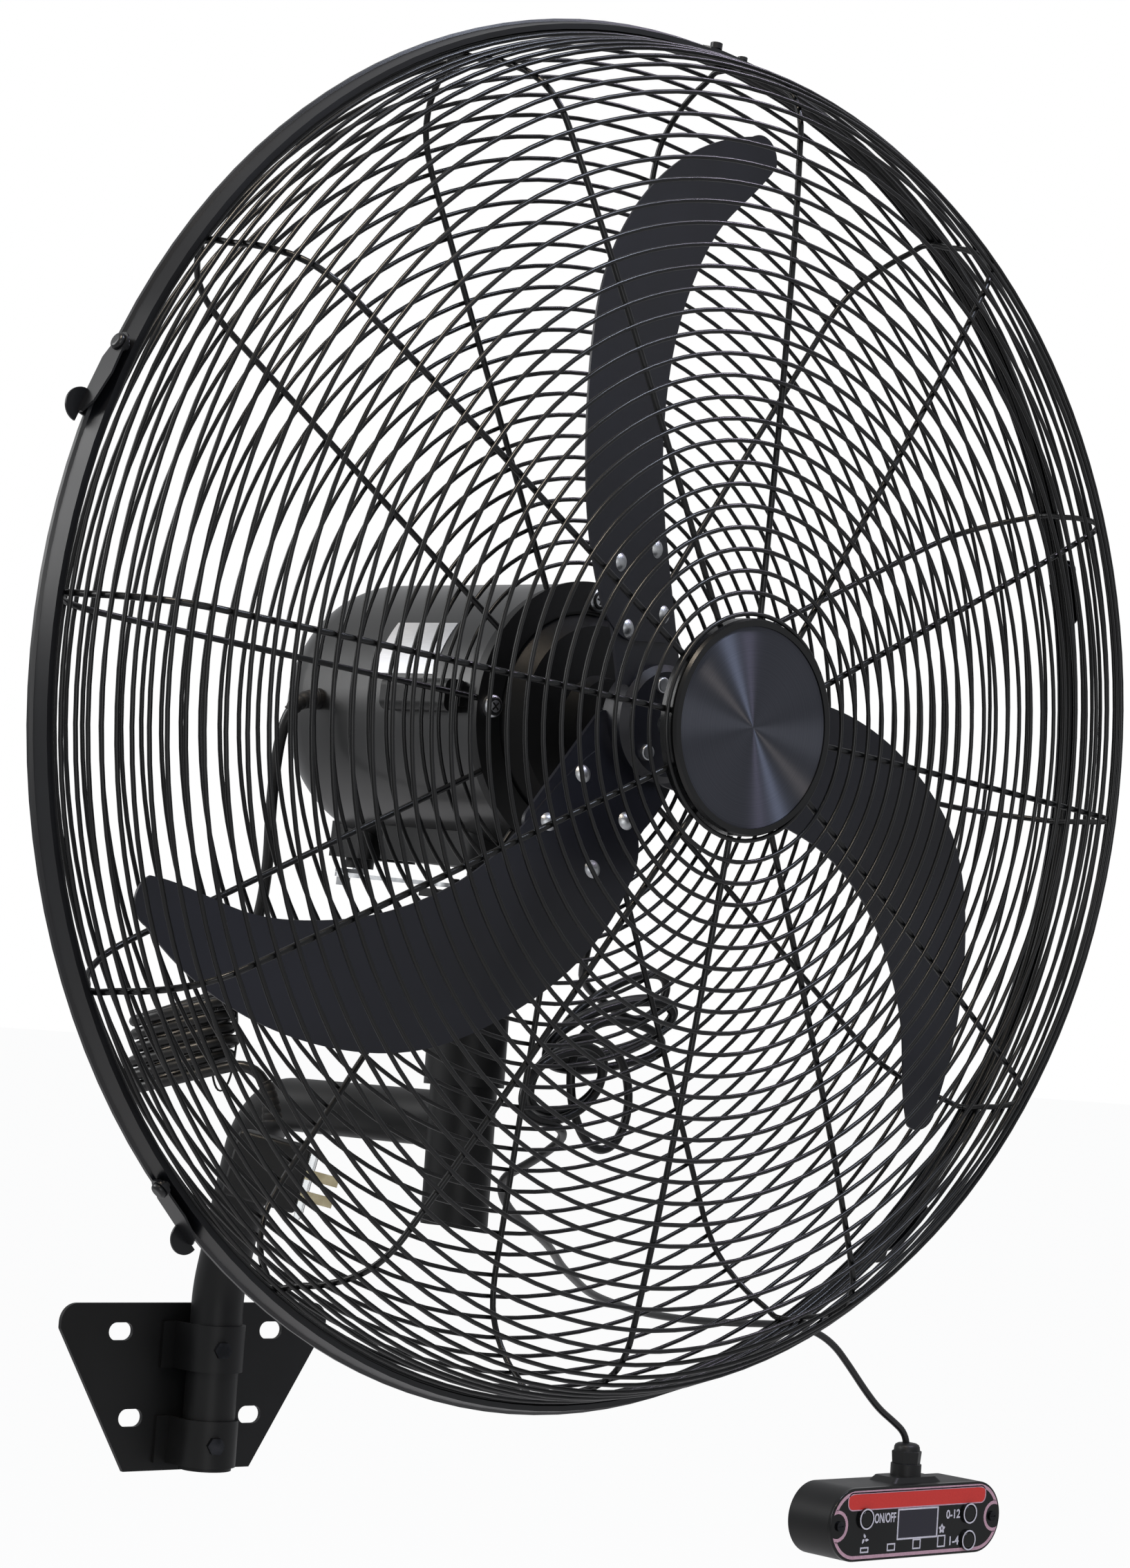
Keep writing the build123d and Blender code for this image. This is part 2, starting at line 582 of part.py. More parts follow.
def gearbox_case():
    """The reduction gear that turns the crank, bolted under the rear of the motor."""
    base = (Align.CENTER, Align.CENTER, Align.MIN)
    case = Pos(-6, GEARBOX_Y - 4, BRACKET_Z - GEARBOX_DROP) * Box(
        GEARBOX_WIDTH, GEARBOX_LENGTH, GEARBOX_HEIGHT, align=base)
    case = fillet(case.edges().filter_by(Axis.Z), 8)
    case += Pos(CRANK_X, GEARBOX_Y, BRACKET_Z - GEARBOX_BOSS_DROP) * Cylinder(GEARBOX_BOSS_R, 10, align=base)
    case -= motor_cup(MOTOR_R + SEAT, 0, MOTOR_REAR_Y + SEAT, MOTOR_CORNER_R + SEAT)
    return case - Pos(CRANK_X, GEARBOX_Y, BRACKET_Z - 18) * Cylinder(CRANK_SHAFT_R + RUN, 24, align=base)


def cable_grommets():
    """The rubber bushes where the power cord and the control cord enter the motor."""
    bushes = []
    for (angle, y), cord_r in zip(GROMMETS, (POWER_R, CONTROL_R)):
        bush = rod((MOTOR_R - GROMMET_IN, y, 0), (MOTOR_R + GROMMET_OUT, y, 0), GROMMET_R)
        bush -= rod((MOTOR_R - 20, y, 0), (MOTOR_R + 20, y, 0), cord_r + RUN)
        bushes.append(at_angle(angle, bush))
    return bushes


# ---------------------------------------------------------------- rotor
def rotor_shaft():
    shaft = along_y(SHAFT_R, SPIDER_Y - 8, REAR_BEARING_Y + BEARING_W / 2 - 1)
    return chamfer(shaft.edges().sort_by(Axis.Y)[0], 1.0)


def rotor_core():
    core = along_y(STATOR_BORE_R - AIR_GAP, STATOR_FRONT_Y, STATOR_REAR_Y)
    return core - along_y(SHAFT_R + 0.01, STATOR_FRONT_Y - 1, STATOR_REAR_Y + 1)


def blade_height(t, slope):
    """Station of the blade's middle surface at a width t beside its centre line."""
    return SPIDER_Y + 1.0 - slope * t


def strip(s, slope, camber, low, high, wide=BLADE_SHEET_HALF):
    """A section of a sheet across the blade at distance s, between two offsets in y."""
    ends = [(-wide, blade_height(-wide, slope)), (wide, blade_height(wide, slope))]
    middle = (0.0, blade_height(0.0, slope) + camber)
    front = ThreePointArc((s, ends[0][1] + low, ends[0][0]), (s, middle[1] + low, middle[0]),
                          (s, ends[1][1] + low, ends[1][0])) if camber else Line(
        (s, ends[0][1] + low, ends[0][0]), (s, ends[1][1] + low, ends[1][0]))
    rear = ThreePointArc((s, ends[1][1] + high, ends[1][0]), (s, middle[1] + high, middle[0]),
                         (s, ends[0][1] + high, ends[0][0])) if camber else Line(
        (s, ends[1][1] + high, ends[1][0]), (s, ends[0][1] + high, ends[0][0]))
    return make_face([front, Line(front @ 1, rear @ 0), rear, Line(rear @ 1, front @ 0)])


def blade():
    """A twisted and slightly cambered sheet cut to the blade's outline."""
    half = BLADE_T / 2
    sections = []
    for s in BLADE_STATIONS:
        share = max(0.0, (s - BLADE_FLAT_END) / (BLADE_END - BLADE_FLAT_END))
        share = share * share * (3 - 2 * share)
        slope = BLADE_SLOPE_ROOT + (BLADE_SLOPE_TIP - BLADE_SLOPE_ROOT) * share
        sections.append(strip(s, slope, BLADE_CAMBER * share + 0.01, -half, half))
    formed = loft(sections)
    outer_edge = Spline(BLADE_ROOT_OUTER, *BLADE_OUTER_EDGE, BLADE_TIP_OUTER)
    tip = ThreePointArc(BLADE_TIP_OUTER, BLADE_TIP_MIDDLE, BLADE_TIP_INNER)
    inner_edge = Spline(BLADE_TIP_INNER, *BLADE_INNER_EDGE, BLADE_ROOT_INNER)
    root = [Line(BLADE_ROOT_INNER, BLADE_ROOT_MIDDLE),
            ThreePointArc(BLADE_ROOT_MIDDLE, BLADE_ROOT_SHOULDER, BLADE_ROOT_OUTER)]
    outline = make_face([outer_edge, tip, inner_edge] + root)
    prism = extrude(Plane.XZ * outline, amount=80, both=True)
    sheet = formed & prism
    for radius, lateral in rivet_spots():
        s, t = arm_spot(radius, lateral)
        sheet -= sheet_axis(s, t, RIVET_R + RUN, 30)
    return sheet


def rivet_spots():
    return [(radius, side * RIVET_LATERAL) for radius in RIVET_RADII for side in (-1, 1)]


def arm_spot(radius, lateral):
    """A point of the spider arm in the blade's own frame."""
    turn = math.radians(SPIDER_ARM_ANGLE)
    along, across = math.cos(turn), math.sin(turn)
    return (radius * along - lateral * across, radius * across + lateral * along)


def sheet_axis(s, t, radius, length):
    """A bar square to the tilted root of the blade."""
    lean = math.atan(BLADE_SLOPE_ROOT)
    out = Vector(0, math.cos(lean), math.sin(lean))
    middle = Vector(s, blade_height(t, BLADE_SLOPE_ROOT), t)
    return rod(middle - out * (length / 2), middle + out * (length / 2), radius)


def blade_rivet(s, t):
    lean = math.atan(BLADE_SLOPE_ROOT)
    out = Vector(0, math.cos(lean), math.sin(lean))
    middle = Vector(s, blade_height(t, BLADE_SLOPE_ROOT), t)
    front = middle - out * (BLADE_T / 2 + SEAT)
    back = middle + out * (BLADE_T / 2 + 2 * SEAT + SPIDER_T)
    rivet = rod(front, back, RIVET_R)
    dome_r = RIVET_HEAD_R * 1.3
    rise = math.sqrt(dome_r ** 2 - RIVET_HEAD_R ** 2)
    head = Pos(*(front + out * rise)) * Sphere(dome_r)
    base = (Align.CENTER, Align.CENTER, Align.MIN)
    slab = Plane(origin=front, z_dir=-out) * Cylinder(dome_r, dome_r, align=base)
    tail = Plane(origin=back, z_dir=out) * Cylinder(RIVET_HEAD_R - 1, 1.2, align=base)
    return rivet + (head & slab) + tail


def spider():
    """A three-armed plate behind the blade roots, on the hub collar."""
    low = BLADE_T / 2 + SEAT
    high = low + SPIDER_T
    arms = None
    for k in range(3):
        sheet = loft([strip(20.0, BLADE_SLOPE_ROOT, 0, low, high),
                      strip(BLADE_FLAT_END + 10, BLADE_SLOPE_ROOT, 0, low, high)], ruled=True)
        outline = Pos((SPIDER_ARM_START + SPIDER_ARM_END) / 2, 0) * RectangleRounded(
            SPIDER_ARM_END - SPIDER_ARM_START, 2 * SPIDER_ARM_HALF, SPIDER_CORNER_R)
        prism = extrude(Plane.XZ * (Rot(Z=SPIDER_ARM_ANGLE) * outline), amount=80, both=True)
        arm = at_angle(BLADE_PHASE + 120 * k, sheet & prism)
        arms = arm if arms is None else arms + arm
    front, back = SPIDER_Y - SPIDER_HUB_FRONT, SPIDER_Y + SPIDER_HUB_BACK
    hub = turned((SHAFT_R + RUN, front), (SPIDER_HUB_R - SPIDER_HUB_BEVEL, front),
                 (SPIDER_HUB_R, front + SPIDER_HUB_BEVEL), (SPIDER_HUB_R, back), (SHAFT_R + RUN, back))
    body = arms + hub
    for k in range(3):
        for radius, lateral in rivet_spots():
            s, t = arm_spot(radius, lateral)
            body -= at_angle(BLADE_PHASE + 120 * k, sheet_axis(s, t, RIVET_R + RUN, 30))
    return body - along_y(SHAFT_R + RUN, -100, 100)


def hub_rivets():
    """Round heads on the front of the hub disc, one in line with each arm."""
    heads = []
    front = SPIDER_Y - SPIDER_HUB_FRONT - SEAT
    for k in range(3):
        angle = BLADE_PHASE + SPIDER_ARM_ANGLE + 120 * k
        dome = Pos(HUB_RIVET_CIRCLE, front, 0) * Rot(X=90) * Cylinder(RIVET_HEAD_R - 0.6, 2.6)
        dome = fillet(dome.edges().sort_by(Axis.Y)[0], 1.2)
        heads.append(at_angle(angle, Pos(0, -1.3, 0) * dome))
    return heads


# ---------------------------------------------------------------- guards
def guard_profile(corners, middle=None):
    """The (radius, y) corners of a guard from its rim wire to its middle."""
    inner = [] if middle is None else [middle]
    return [(RIM_R - inset, y) for inset, y in corners] + inner


def stations(profile, pitch, first):
    """Points at an even pitch along a (radius, y) profile."""
    lengths = [math.dist(a, b) for a, b in zip(profile, profile[1:])]
    total = sum(lengths)
    count = int((total - first) // pitch)
    spots = []
    for i in range(count + 1):
        left = first + i * (total - first) / count
        for (a, b), length in zip(zip(profile, profile[1:]), lengths):
            if left <= length + 1e-6:
                share = left / length
                spots.append((a[0] + (b[0] - a[0]) * share, a[1] + (b[1] - a[1]) * share))
                break
            left -= length
    return spots


def inward(profile, side, offset):
    """The profile moved square to itself to the inner side, where the spokes lie."""
    moved = []
    for i, (rho, y) in enumerate(profile):
        normals = []
        for (r0, y0), (r1, y1) in zip(profile[max(i - 1, 0):i + 1], profile[max(i, 1):i + 2]):
            size = math.hypot(r1 - r0, y1 - y0)
            normals.append((side * (y1 - y0) / size, side * (r0 - r1) / size))
        nr, ny = sum(n[0] for n in normals), sum(n[1] for n in normals)
        reach = offset / (nr * normals[0][0] + ny * normals[0][1])
        moved.append((rho + nr * reach, y + ny * reach))
    return moved


def guard_spokes(profile, side, end_r):
    """Bent round bars on the inner side of the rings, from the rim wire to the middle."""
    inner = inward(profile, side, RING_R + SPOKE_R + SEAT)
    rim_rho = profile[0][0] - RIM_WIRE_R - SPOKE_R - SEAT
    rim_y = profile[0][1]
    points = [(rim_rho, rim_y + side * 2), (rim_rho + 0.01, rim_y - side * 3.5)]
    points += [p for p in inner[1:] if p[0] < rim_rho - 0.5]
    (r0, y0), (r1, y1) = points[-2:]
    points[-1] = (end_r, y1 + (y1 - y0) / (r1 - r0) * (end_r - r1))
    corners = [(rho, y, 0) for rho, y in points]
    path = FilletPolyline(*corners, radius=bend_radii(corners))
    bar = sweep(Plane(origin=path @ 0, z_dir=path % 0) * Circle(SPOKE_R), path=path)
    return [at_angle(SPOKE_PHASE - 360 / SPOKE_COUNT * k, bar) for k in range(SPOKE_COUNT)]


def bend_radii(points):
    """One radius for each inner corner, from the shorter run beside it."""
    radii = []
    for a, b, c in zip(points, points[1:], points[2:]):
        u, v = Vector(*b) - Vector(*a), Vector(*c) - Vector(*b)
        half = math.radians(u.get_angle(v)) / 2
        radii.append(0.45 * min(u.length, v.length) / math.tan(half))
    return radii


def guard_rings(rim_y, spots, outer_width):
    """The rim wire and the large outer rings as one group, and the inner rings as another."""
    outer, inner = [ring(RIM_R, rim_y, RIM_WIRE_R)], []
    for rho, y in spots:
        (outer if rho > RIM_R - outer_width else inner).append(ring(rho, y, RING_R))
    return outer, inner


def guard_hoop():
    """The steel band that clamps both guards, with a folded rear lip."""
    r, front, fold = HOOP_R, -HOOP_DEPTH, HOOP_FOLD_Y
    band = turned((r, 0), (r, fold + 1), (r - 1.6, fold), (r - HOOP_TAPER, front),
                  (r - HOOP_FRONT_LIP, front), (r - HOOP_FRONT_LIP, front + HOOP_T), (r - HOOP_TAPER - HOOP_T, front + HOOP_T),
                  (r - 3.0, fold + 0.3), (r - 3.0, -1.4), (r - HOOP_REAR_LIP, -1.4), (r - HOOP_REAR_LIP, 0))
    for angle in CLIP_ANGLES:
        band -= at_angle(angle, rod((r - 12, CLIP_Y, 0), (r + 10, CLIP_Y, 0), CLIP_RIVET_R + RUN))
    return band - at_angle(CLASP_ANGLE, Pos(r, front / 2, 0) * Box(40, 30, CLASP_GAP))


def clip_rivet(angle):
    """The domed rivet a clip turns on, with its spacer on the band."""
    base = (Align.CENTER, Align.CENTER, Align.MIN)
    plate_out = HOOP_R + FREE + CLIP_T
    rivet = rod((HOOP_R - 5.0, CLIP_Y, 0), (plate_out + 1, CLIP_Y, 0), CLIP_RIVET_R)
    spacer = rod((HOOP_R - 1.5, CLIP_Y, 0), (HOOP_R, CLIP_Y, 0), CLIP_RIVET_R + 2)
    head = Pos(plate_out + FREE, CLIP_Y, 0) * Rot(Y=90) * Cylinder(4.6, 2.6, align=base)
    head = fillet(head.edges().sort_by(Axis.X)[-1], 2.0)
    return at_angle(angle, rivet + spacer + head)


def guard_clip(angle):
    """A sprung steel hook that turns on its rivet and grips the rear lip."""
    start = HOOP_R + FREE
    far = CLIP_LENGTH * (1 if math.cos(math.radians(angle)) < 0 else -1)
    base = (Align.CENTER, Align.CENTER, Align.MIN)
    edge = CLIP_LIP_GAP + CLIP_T
    eye = Pos(start, CLIP_Y, 0) * Rot(Y=90) * Cylinder(6.0, CLIP_T, align=base)
    blank = Polyline((CLIP_Y - 5.0, 0), (CLIP_Y - 6.0, far * 0.45), (CLIP_Y - 2.0, far * 0.85),
                     (CLIP_Y + 5.0, far), (edge, far), (edge, far * 0.2), (CLIP_Y + 6.0, 0), close=True)
    flat = Plane(origin=(start, 0, 0), x_dir=(0, 1, 0), z_dir=(1, 0, 0))
    sheet = extrude(flat * make_face(blank), amount=CLIP_T)
    flange = Pos(start - CLIP_HOOK, CLIP_LIP_GAP, far * 0.6) * Box(
        CLIP_HOOK + CLIP_T, CLIP_T, abs(far) * 0.8, align=(Align.MIN, Align.MIN, Align.CENTER))
    ear = Pos(start + CLIP_T / 2, CLIP_LIP_GAP + CLIP_T / 2, far * 0.9) * Rot(X=90) * Cylinder(9.0, CLIP_T)
    ear &= Pos(start, 0, far * 0.9) * Box(30, 30, 30, align=(Align.MIN, Align.CENTER, Align.CENTER))
    clip = eye + sheet + flange + ear
    return at_angle(angle, clip - rod((start - 10, CLIP_Y, 0), (start + 10, CLIP_Y, 0), CLIP_RIVET_R + RUN))


def hoop_clasp():
    """The joint of the band: a curved strap over the gap, drawn up by a screw and a rivet."""
    middle = -(HOOP_DEPTH + 4) / 2

    def cone(y):
        return HOOP_R - 1.6 - (HOOP_FOLD_Y - y) * (HOOP_TAPER - 1.6) / (HOOP_DEPTH + HOOP_FOLD_Y)

    rear, front = HOOP_FOLD_Y - 0.5, -HOOP_DEPTH + 0.8
    strap = turned((cone(rear) + SEAT, rear), (cone(rear) + 1.4, rear),
                   (cone(front) + 1.4, front), (cone(front) + SEAT, front))
    strap &= Pos(HOOP_R, middle, 0) * Box(60, 40, 36)
    screw = rod((HOOP_R - 4, middle, 11), (HOOP_R + 1.5, middle, 11), 3.6)
    rivet = rod((HOOP_R - 4, middle, -11), (HOOP_R, middle, -11), 3.0)
    slot = Pos(HOOP_R + 1.5, middle, 11) * Box(1.6, 7, 1)
    return at_angle(CLASP_ANGLE, strap + (screw + rivet - along_y(HOOP_R - 1.8, -30, 30)) - slot)


def badge():
    """The spun disc in the middle of the front guard, and its black rim."""
    disc_r = BADGE_R - BADGE_RIM_W
    rim = turned((disc_r - 4, BADGE_Y + 12), (disc_r - 4, BADGE_Y + 3.2), (disc_r + 0.1, BADGE_Y + 3.2),
                 (disc_r + 0.1, BADGE_Y), (BADGE_R - 1, BADGE_Y), (BADGE_R, BADGE_Y + 2),
                 (BADGE_R, BADGE_Y + 12))
    disc = turned((0, BADGE_Y + 1.0), (disc_r, BADGE_Y + 1.0), (disc_r, BADGE_Y + 3.1), (0, BADGE_Y + 3.1))
    back = along_y(disc_r - 4 - SEAT, BADGE_Y + 3.0, BADGE_Y + 5.0)
    return rim, disc + back


def guard_mount():
    """The ring that carries the rear guard on the motor, and its four screws."""
    face = MOTOR_FRONT_Y - SEAT - BELL_FLANGE_T
    plate = along_y(MOUNT_RING_OUT, face - SEAT - MOUNT_RING_T, face - SEAT)
    plate -= along_y(MOUNT_RING_IN, face - 10, face + 1)
    screws = []
    for angle in (0, 90, 180, 270):
        hole = along_y(MOUNT_SCREW_R + RUN, face - 10, face + 1, x=MOUNT_SCREW_CIRCLE)
        plate -= at_angle(angle, hole)
        seat = face - SEAT - MOUNT_RING_T - SEAT
        screw = along_y(MOUNT_SCREW_R, seat, face + 4, x=MOUNT_SCREW_CIRCLE)
        head = along_y(MOUNT_SCREW_HEAD_R, seat - 4, seat, x=MOUNT_SCREW_CIRCLE)
        head = fillet(head.edges().sort_by(Axis.Y)[0], 2.5)
        screws.append(at_angle(angle, screw + head))
    return plate, screws


# ---------------------------------------------------------------- oscillation drive
def crank():
    """The cranked arm on the gearbox shaft, with its pin and nut."""
    x, y = CRANK_X, GEARBOX_Y
    pin_x = x - CRANK_R
    plate_z = LINK_Z + LINK_T / 2 + SEAT + 0.2
    arm = Pos((x + pin_x) / 2, y, plate_z + 1.25) * Box(CRANK_R, 11, 2.5)
    for cx in (x, pin_x):
        arm += Pos(cx, y, plate_z + 1.25) * Cylinder(5.5, 2.5)
    shaft = rod((x, y, plate_z), (x, y, BRACKET_Z + 2), CRANK_SHAFT_R)
    pin = rod((pin_x, y, LINK_Z - LINK_T / 2 - 0.3), (pin_x, y, plate_z + 1), LINK_PIN_R)
    nut = Pos(pin_x, y, LINK_Z - LINK_T / 2 - 0.25 - 5) * hexagon_bolt(8, 5)
    return arm + shaft + pin + nut


def oscillation_link():
    """A flat bar from the crank pin to the slotted eye on the neck's anchor pin."""
    x = CRANK_X - CRANK_R
    far = PAN_Y
    bar = Pos(x, (GEARBOX_Y + far) / 2, LINK_Z) * Box(9, GEARBOX_Y - far, LINK_T)
    bar += Pos(x, GEARBOX_Y, LINK_Z) * Cylinder(5.5, LINK_T)
    bar += Pos(x, far, LINK_Z) * Cylinder(LINK_EYE_R + 2.3, LINK_T)
    bar -= Pos(x, far, LINK_Z) * Cylinder(LINK_EYE_R, 20)
    return bar - Pos(x, GEARBOX_Y, LINK_Z) * Cylinder(LINK_PIN_R + RUN, 20)


# ---------------------------------------------------------------- control box
def stadium(width, height):
    return SlotOverall(width, height)


def box_body():
    """An open-fronted case with a back wall, rounded at both ends."""
    outer = extrude(Plane.XZ * stadium(BOX_WIDTH, BOX_HEIGHT), amount=BOX_DEPTH - FACE_T)
    inner = extrude(Plane.XZ.offset(BOX_WALL) * stadium(BOX_WIDTH - 2 * BOX_WALL, BOX_HEIGHT - 2 * BOX_WALL),
                    amount=BOX_DEPTH)
    case = Pos(BOX_X, 0, BOX_Z) * (outer - inner)
    for side in (-1, 1):
        x = BOX_X + side * BOX_SCREW_SPACING / 2
        case += rod((x, -BOX_WALL + 0.5, BOX_Z), (x, -BOX_DEPTH + FACE_T, BOX_Z), BOX_SCREW_R + 2.5)
        case -= rod((x, 5, BOX_Z), (x, -100, BOX_Z), BOX_SCREW_R)
    return case - rod((GLAND_X, GLAND_Y, BOX_Z), (GLAND_X, GLAND_Y, 0), GLAND_R - 2)


def face_panel():
    """The front plate, with places for the window and the buttons."""
    front = -BOX_DEPTH + FACE_T - SEAT
    plate = extrude(Plane.XZ * stadium(BOX_WIDTH, BOX_HEIGHT), amount=FACE_T)
    plate = fillet(plate.edges().filter_by_position(Axis.Y, -FACE_T - 0.1, -FACE_T + 0.1), 1.0)
    plate = Pos(BOX_X, front, BOX_Z) * plate
    for x, z in BUTTONS.values():
        plate -= rod((BOX_X + x, 0, BOX_Z + z), (BOX_X + x, -100, BOX_Z + z), BUTTON_R + FREE)
    window = Pos(BOX_X + DISPLAY_X, front - FACE_T, BOX_Z + DISPLAY_Z)
    plate -= window * Box(DISPLAY_W + 0.2, 2.0, DISPLAY_H + 0.2)
    plate -= Pos(BOX_X, front - FACE_T + 0.5, BOX_Z + STRIP_Z) * strip_plate(0.1, 1.0)
    for side in (-1, 1):
        x = BOX_X + side * BOX_SCREW_SPACING / 2
        plate -= rod((x, 5, BOX_Z), (x, -100, BOX_Z), BOX_SCREW_R)
    return plate


def strip_plate(margin, thickness):
    """The long strip's shape with a margin round it, growing towards the room."""
    shape = RectangleRounded(STRIP_W + 2 * margin, STRIP_H + 2 * margin, STRIP_CORNER_R)
    return extrude(Plane.XZ * shape, amount=thickness)


def display_panels():
    """The display window and the blank coloured strip above it."""
    front = -BOX_DEPTH - SEAT
    window = Pos(BOX_X + DISPLAY_X, front + 0.42, BOX_Z + DISPLAY_Z) * Box(DISPLAY_W, 0.95, DISPLAY_H)
    band = Pos(BOX_X, front + 0.45, BOX_Z + STRIP_Z) * strip_plate(0, 0.5)
    return window, band


def button(x, z):
    """A round button with a collar behind the face."""
    front = -BOX_DEPTH - BUTTON_OUT
    back = -BOX_DEPTH + FACE_T + FREE
    cap = rod((BOX_X + x, back, BOX_Z + z), (BOX_X + x, front, BOX_Z + z), BUTTON_R)
    cap = fillet(cap.edges().sort_by(Axis.Y)[0], 1.0)
    collar = rod((BOX_X + x, back + 1.5, BOX_Z + z), (BOX_X + x, back, BOX_Z + z), BUTTON_R + BUTTON_COLLAR)
    return cap + collar


def circuit_board():
    """The board behind the buttons, on two posts of the case."""
    y = -BOX_DEPTH + FACE_T + FREE + 1.5 + BUTTON_TRAVEL + 1.0
    return Pos(BOX_X, y + 0.8, BOX_Z) * Box(BOX_SCREW_SPACING - 12, 1.6, BOX_HEIGHT - 2 * BOX_WALL - 8)


def board_posts():
    top = -BOX_DEPTH + FACE_T + FREE + 1.5 + BUTTON_TRAVEL + 1.0 + 1.6 + SEAT
    posts = []
    for side in (-1, 1):
        x = BOX_X + side * (BOX_SCREW_SPACING / 2 - POST_INSET)
        posts.append(rod((x, -BOX_WALL + 0.5, BOX_Z), (x, top, BOX_Z), 4))
    return posts


def box_screw(side):
    """A countersunk screw through the case into the wall."""
    x = BOX_X + side * BOX_SCREW_SPACING / 2
    head = -BOX_DEPTH - SEAT
    shank = rod((x, head, BOX_Z), (x, -1.0, BOX_Z), BOX_SCREW_R - 0.15)
    cap = rod((x, head, BOX_Z), (x, head - 1.6, BOX_Z), BOX_SCREW_R + 1.6)
    slot = Pos(x, head - 1.6, BOX_Z) * Box(6, 1.2, 0.9)
    return shank + cap - slot


def cord_gland():
    """A rounded saddle on the case and the sleeve that grips the cord."""
    top = BOX_Z + BOX_HEIGHT / 2 + SEAT
    saddle = Pos(GLAND_X, GLAND_Y, top) * Box(46, 26, 4, align=(Align.CENTER, Align.CENTER, Align.MIN))
    saddle = fillet(saddle.edges().filter_by(Axis.Z), 8)
    saddle += rod((GLAND_X, GLAND_Y, top + 3), (GLAND_X, GLAND_Y, top + GLAND_HEIGHT), GLAND_R)
    sleeve_top = top + GLAND_HEIGHT
    return saddle - rod((GLAND_X, GLAND_Y, top - 1), (GLAND_X, GLAND_Y, sleeve_top + 1), CONTROL_R + RUN)


# ---------------------------------------------------------------- cords
def cord(points, radius, name):
    """A cord along straight runs joined by tangent arcs."""
    radii = bend_radii(points)
    path = FilletPolyline(*points, radius=radii)
    tube = sweep(Plane(origin=path @ 0, z_dir=path % 0) * Circle(radius), path=path)
    length = path.length
    print(name, "length", round(length, 1), "least bend", round(min(radii), 1),
          "volume ratio", round(tube.volume / (math.pi * radius ** 2 * length), 4))
    return tube


def biarc_wire(place, count, span):
    """A smooth wire of arc pairs through even stations of a curve place(t), t from 0 to span."""
    step = span / count

    def heading(t):
        h = 1e-4
        return (Vector(*place(t + h)) - Vector(*place(t - h))).normalized()

    edges = []
    for i in range(count):
        p0, p1 = Vector(*place(i * step)), Vector(*place((i + 1) * step))
        t0, t1 = heading(i * step), heading((i + 1) * step)
        gap, both = p1 - p0, t0 + t1
        slack = 2 * (1 - t0.dot(t1))
        reach = gap.dot(both)
        arm = (math.sqrt(reach ** 2 + slack * gap.dot(gap)) - reach) / slack
        middle = (p0 + p1 + (t0 - t1) * arm) * 0.5
        turn = ((p1 - t1 * arm) - (p0 + t0 * arm)).normalized()
        edges += [TangentArc(p0, middle, tangent=t0), TangentArc(middle, p1, tangent=turn)]
    return Wire(edges)


def least_self_gap(place, span, radius):
    """The least gap of a coil to itself, measured on points more than half a turn apart."""
    samples = 60
    total = int(span * samples)
    spots = [place(i / samples) for i in range(total + 1)]
    least = 1e9
    for i, a in enumerate(spots):
        for b in spots[i + samples // 3:]:
            least = min(least, (a[0] - b[0]) ** 2 + (a[1] - b[1]) ** 2 + (a[2] - b[2]) ** 2)
    return math.sqrt(least) - 2 * radius


def coil_tube(place, span, radius, name):
    """One unbroken tube along a coil, with a straight end of one diameter."""
    wire = biarc_wire(place, int(span * 4), span)
    tube = sweep(Plane(origin=wire @ 0, z_dir=wire % 0) * Circle(radius), path=wire)
    print(name, "loops", span, "length", round(wire.length), "least gap to itself",
          round(least_self_gap(place, span, radius), 2),
          "volume ratio", round(tube.volume / (math.pi * radius ** 2 * wire.length), 4))
    return tube


def power_hank_place(t):
    """The tied power cord: flat sloping oval turns one above the other, running downwards."""
    angle = 2 * math.pi * t
    turn = math.radians(POWER_HANK_TURN)
    a = (POWER_HANK_HALF_LENGTH + 2.0 * math.sin(1.9 * t)) * math.cos(angle)
    b = (POWER_HANK_HALF_WIDTH + 1.5 * math.cos(1.3 * t)) * math.sin(angle)
    x, y, z = POWER_HANK_CENTRE
    return (x + a * math.cos(turn) - b * math.sin(turn), y + a * math.sin(turn) + b * math.cos(turn),
            z + POWER_HANK_RISE * (3.0 - t) + POWER_HANK_SLOPE * a)


def control_hank_place(t):
    """The tied control cord: leaning turns from back to front, each blended into the next."""
    t = min(max(t, 0.0), CONTROL_HANK_LOOPS - 1e-9)
    k = int(t)
    share = (t - k) ** 2 * (3 - 2 * (t - k))
    x, z, half_length, half_width, lean = (
        p + (q - p) * share for p, q in zip(CONTROL_HANK_TURNS[k], CONTROL_HANK_TURNS[k + 1]))
    y = CONTROL_HANK_BACK - CONTROL_HANK_STEP * t + CONTROL_HANK_ENTRY * max(0.0, 1.0 - t) ** 2
    angle = 2 * math.pi * (t + CONTROL_HANK_START)
    lean = math.radians(lean)
    a, b = half_length * math.cos(angle), half_width * math.sin(angle)
    x += CONTROL_HANK_DRIFT * (y - CONTROL_HANK_FRONT)
    return (x + a * math.cos(lean) - b * math.sin(lean), y, z + a * math.sin(lean) + b * math.cos(lean))


def grommet_points(index, inner, outer):
    """Two points on a grommet's axis in the row frame."""
    angle, y = GROMMETS[index]
    turn = math.radians(angle)
    return [tuple(in_head(r * math.cos(turn), y, r * math.sin(turn))) for r in (inner, outer)]


def beyond(place, t, reach):
    """A point straight beyond a coil's end, at a signed reach along its heading."""
    h = 1e-4
    low, high = (t, t + h) if reach < 0 else (t - h, t)
    heading = (Vector(*place(high)) - Vector(*place(low))).normalized()
    return tuple(Vector(*place(t)) + heading * reach)


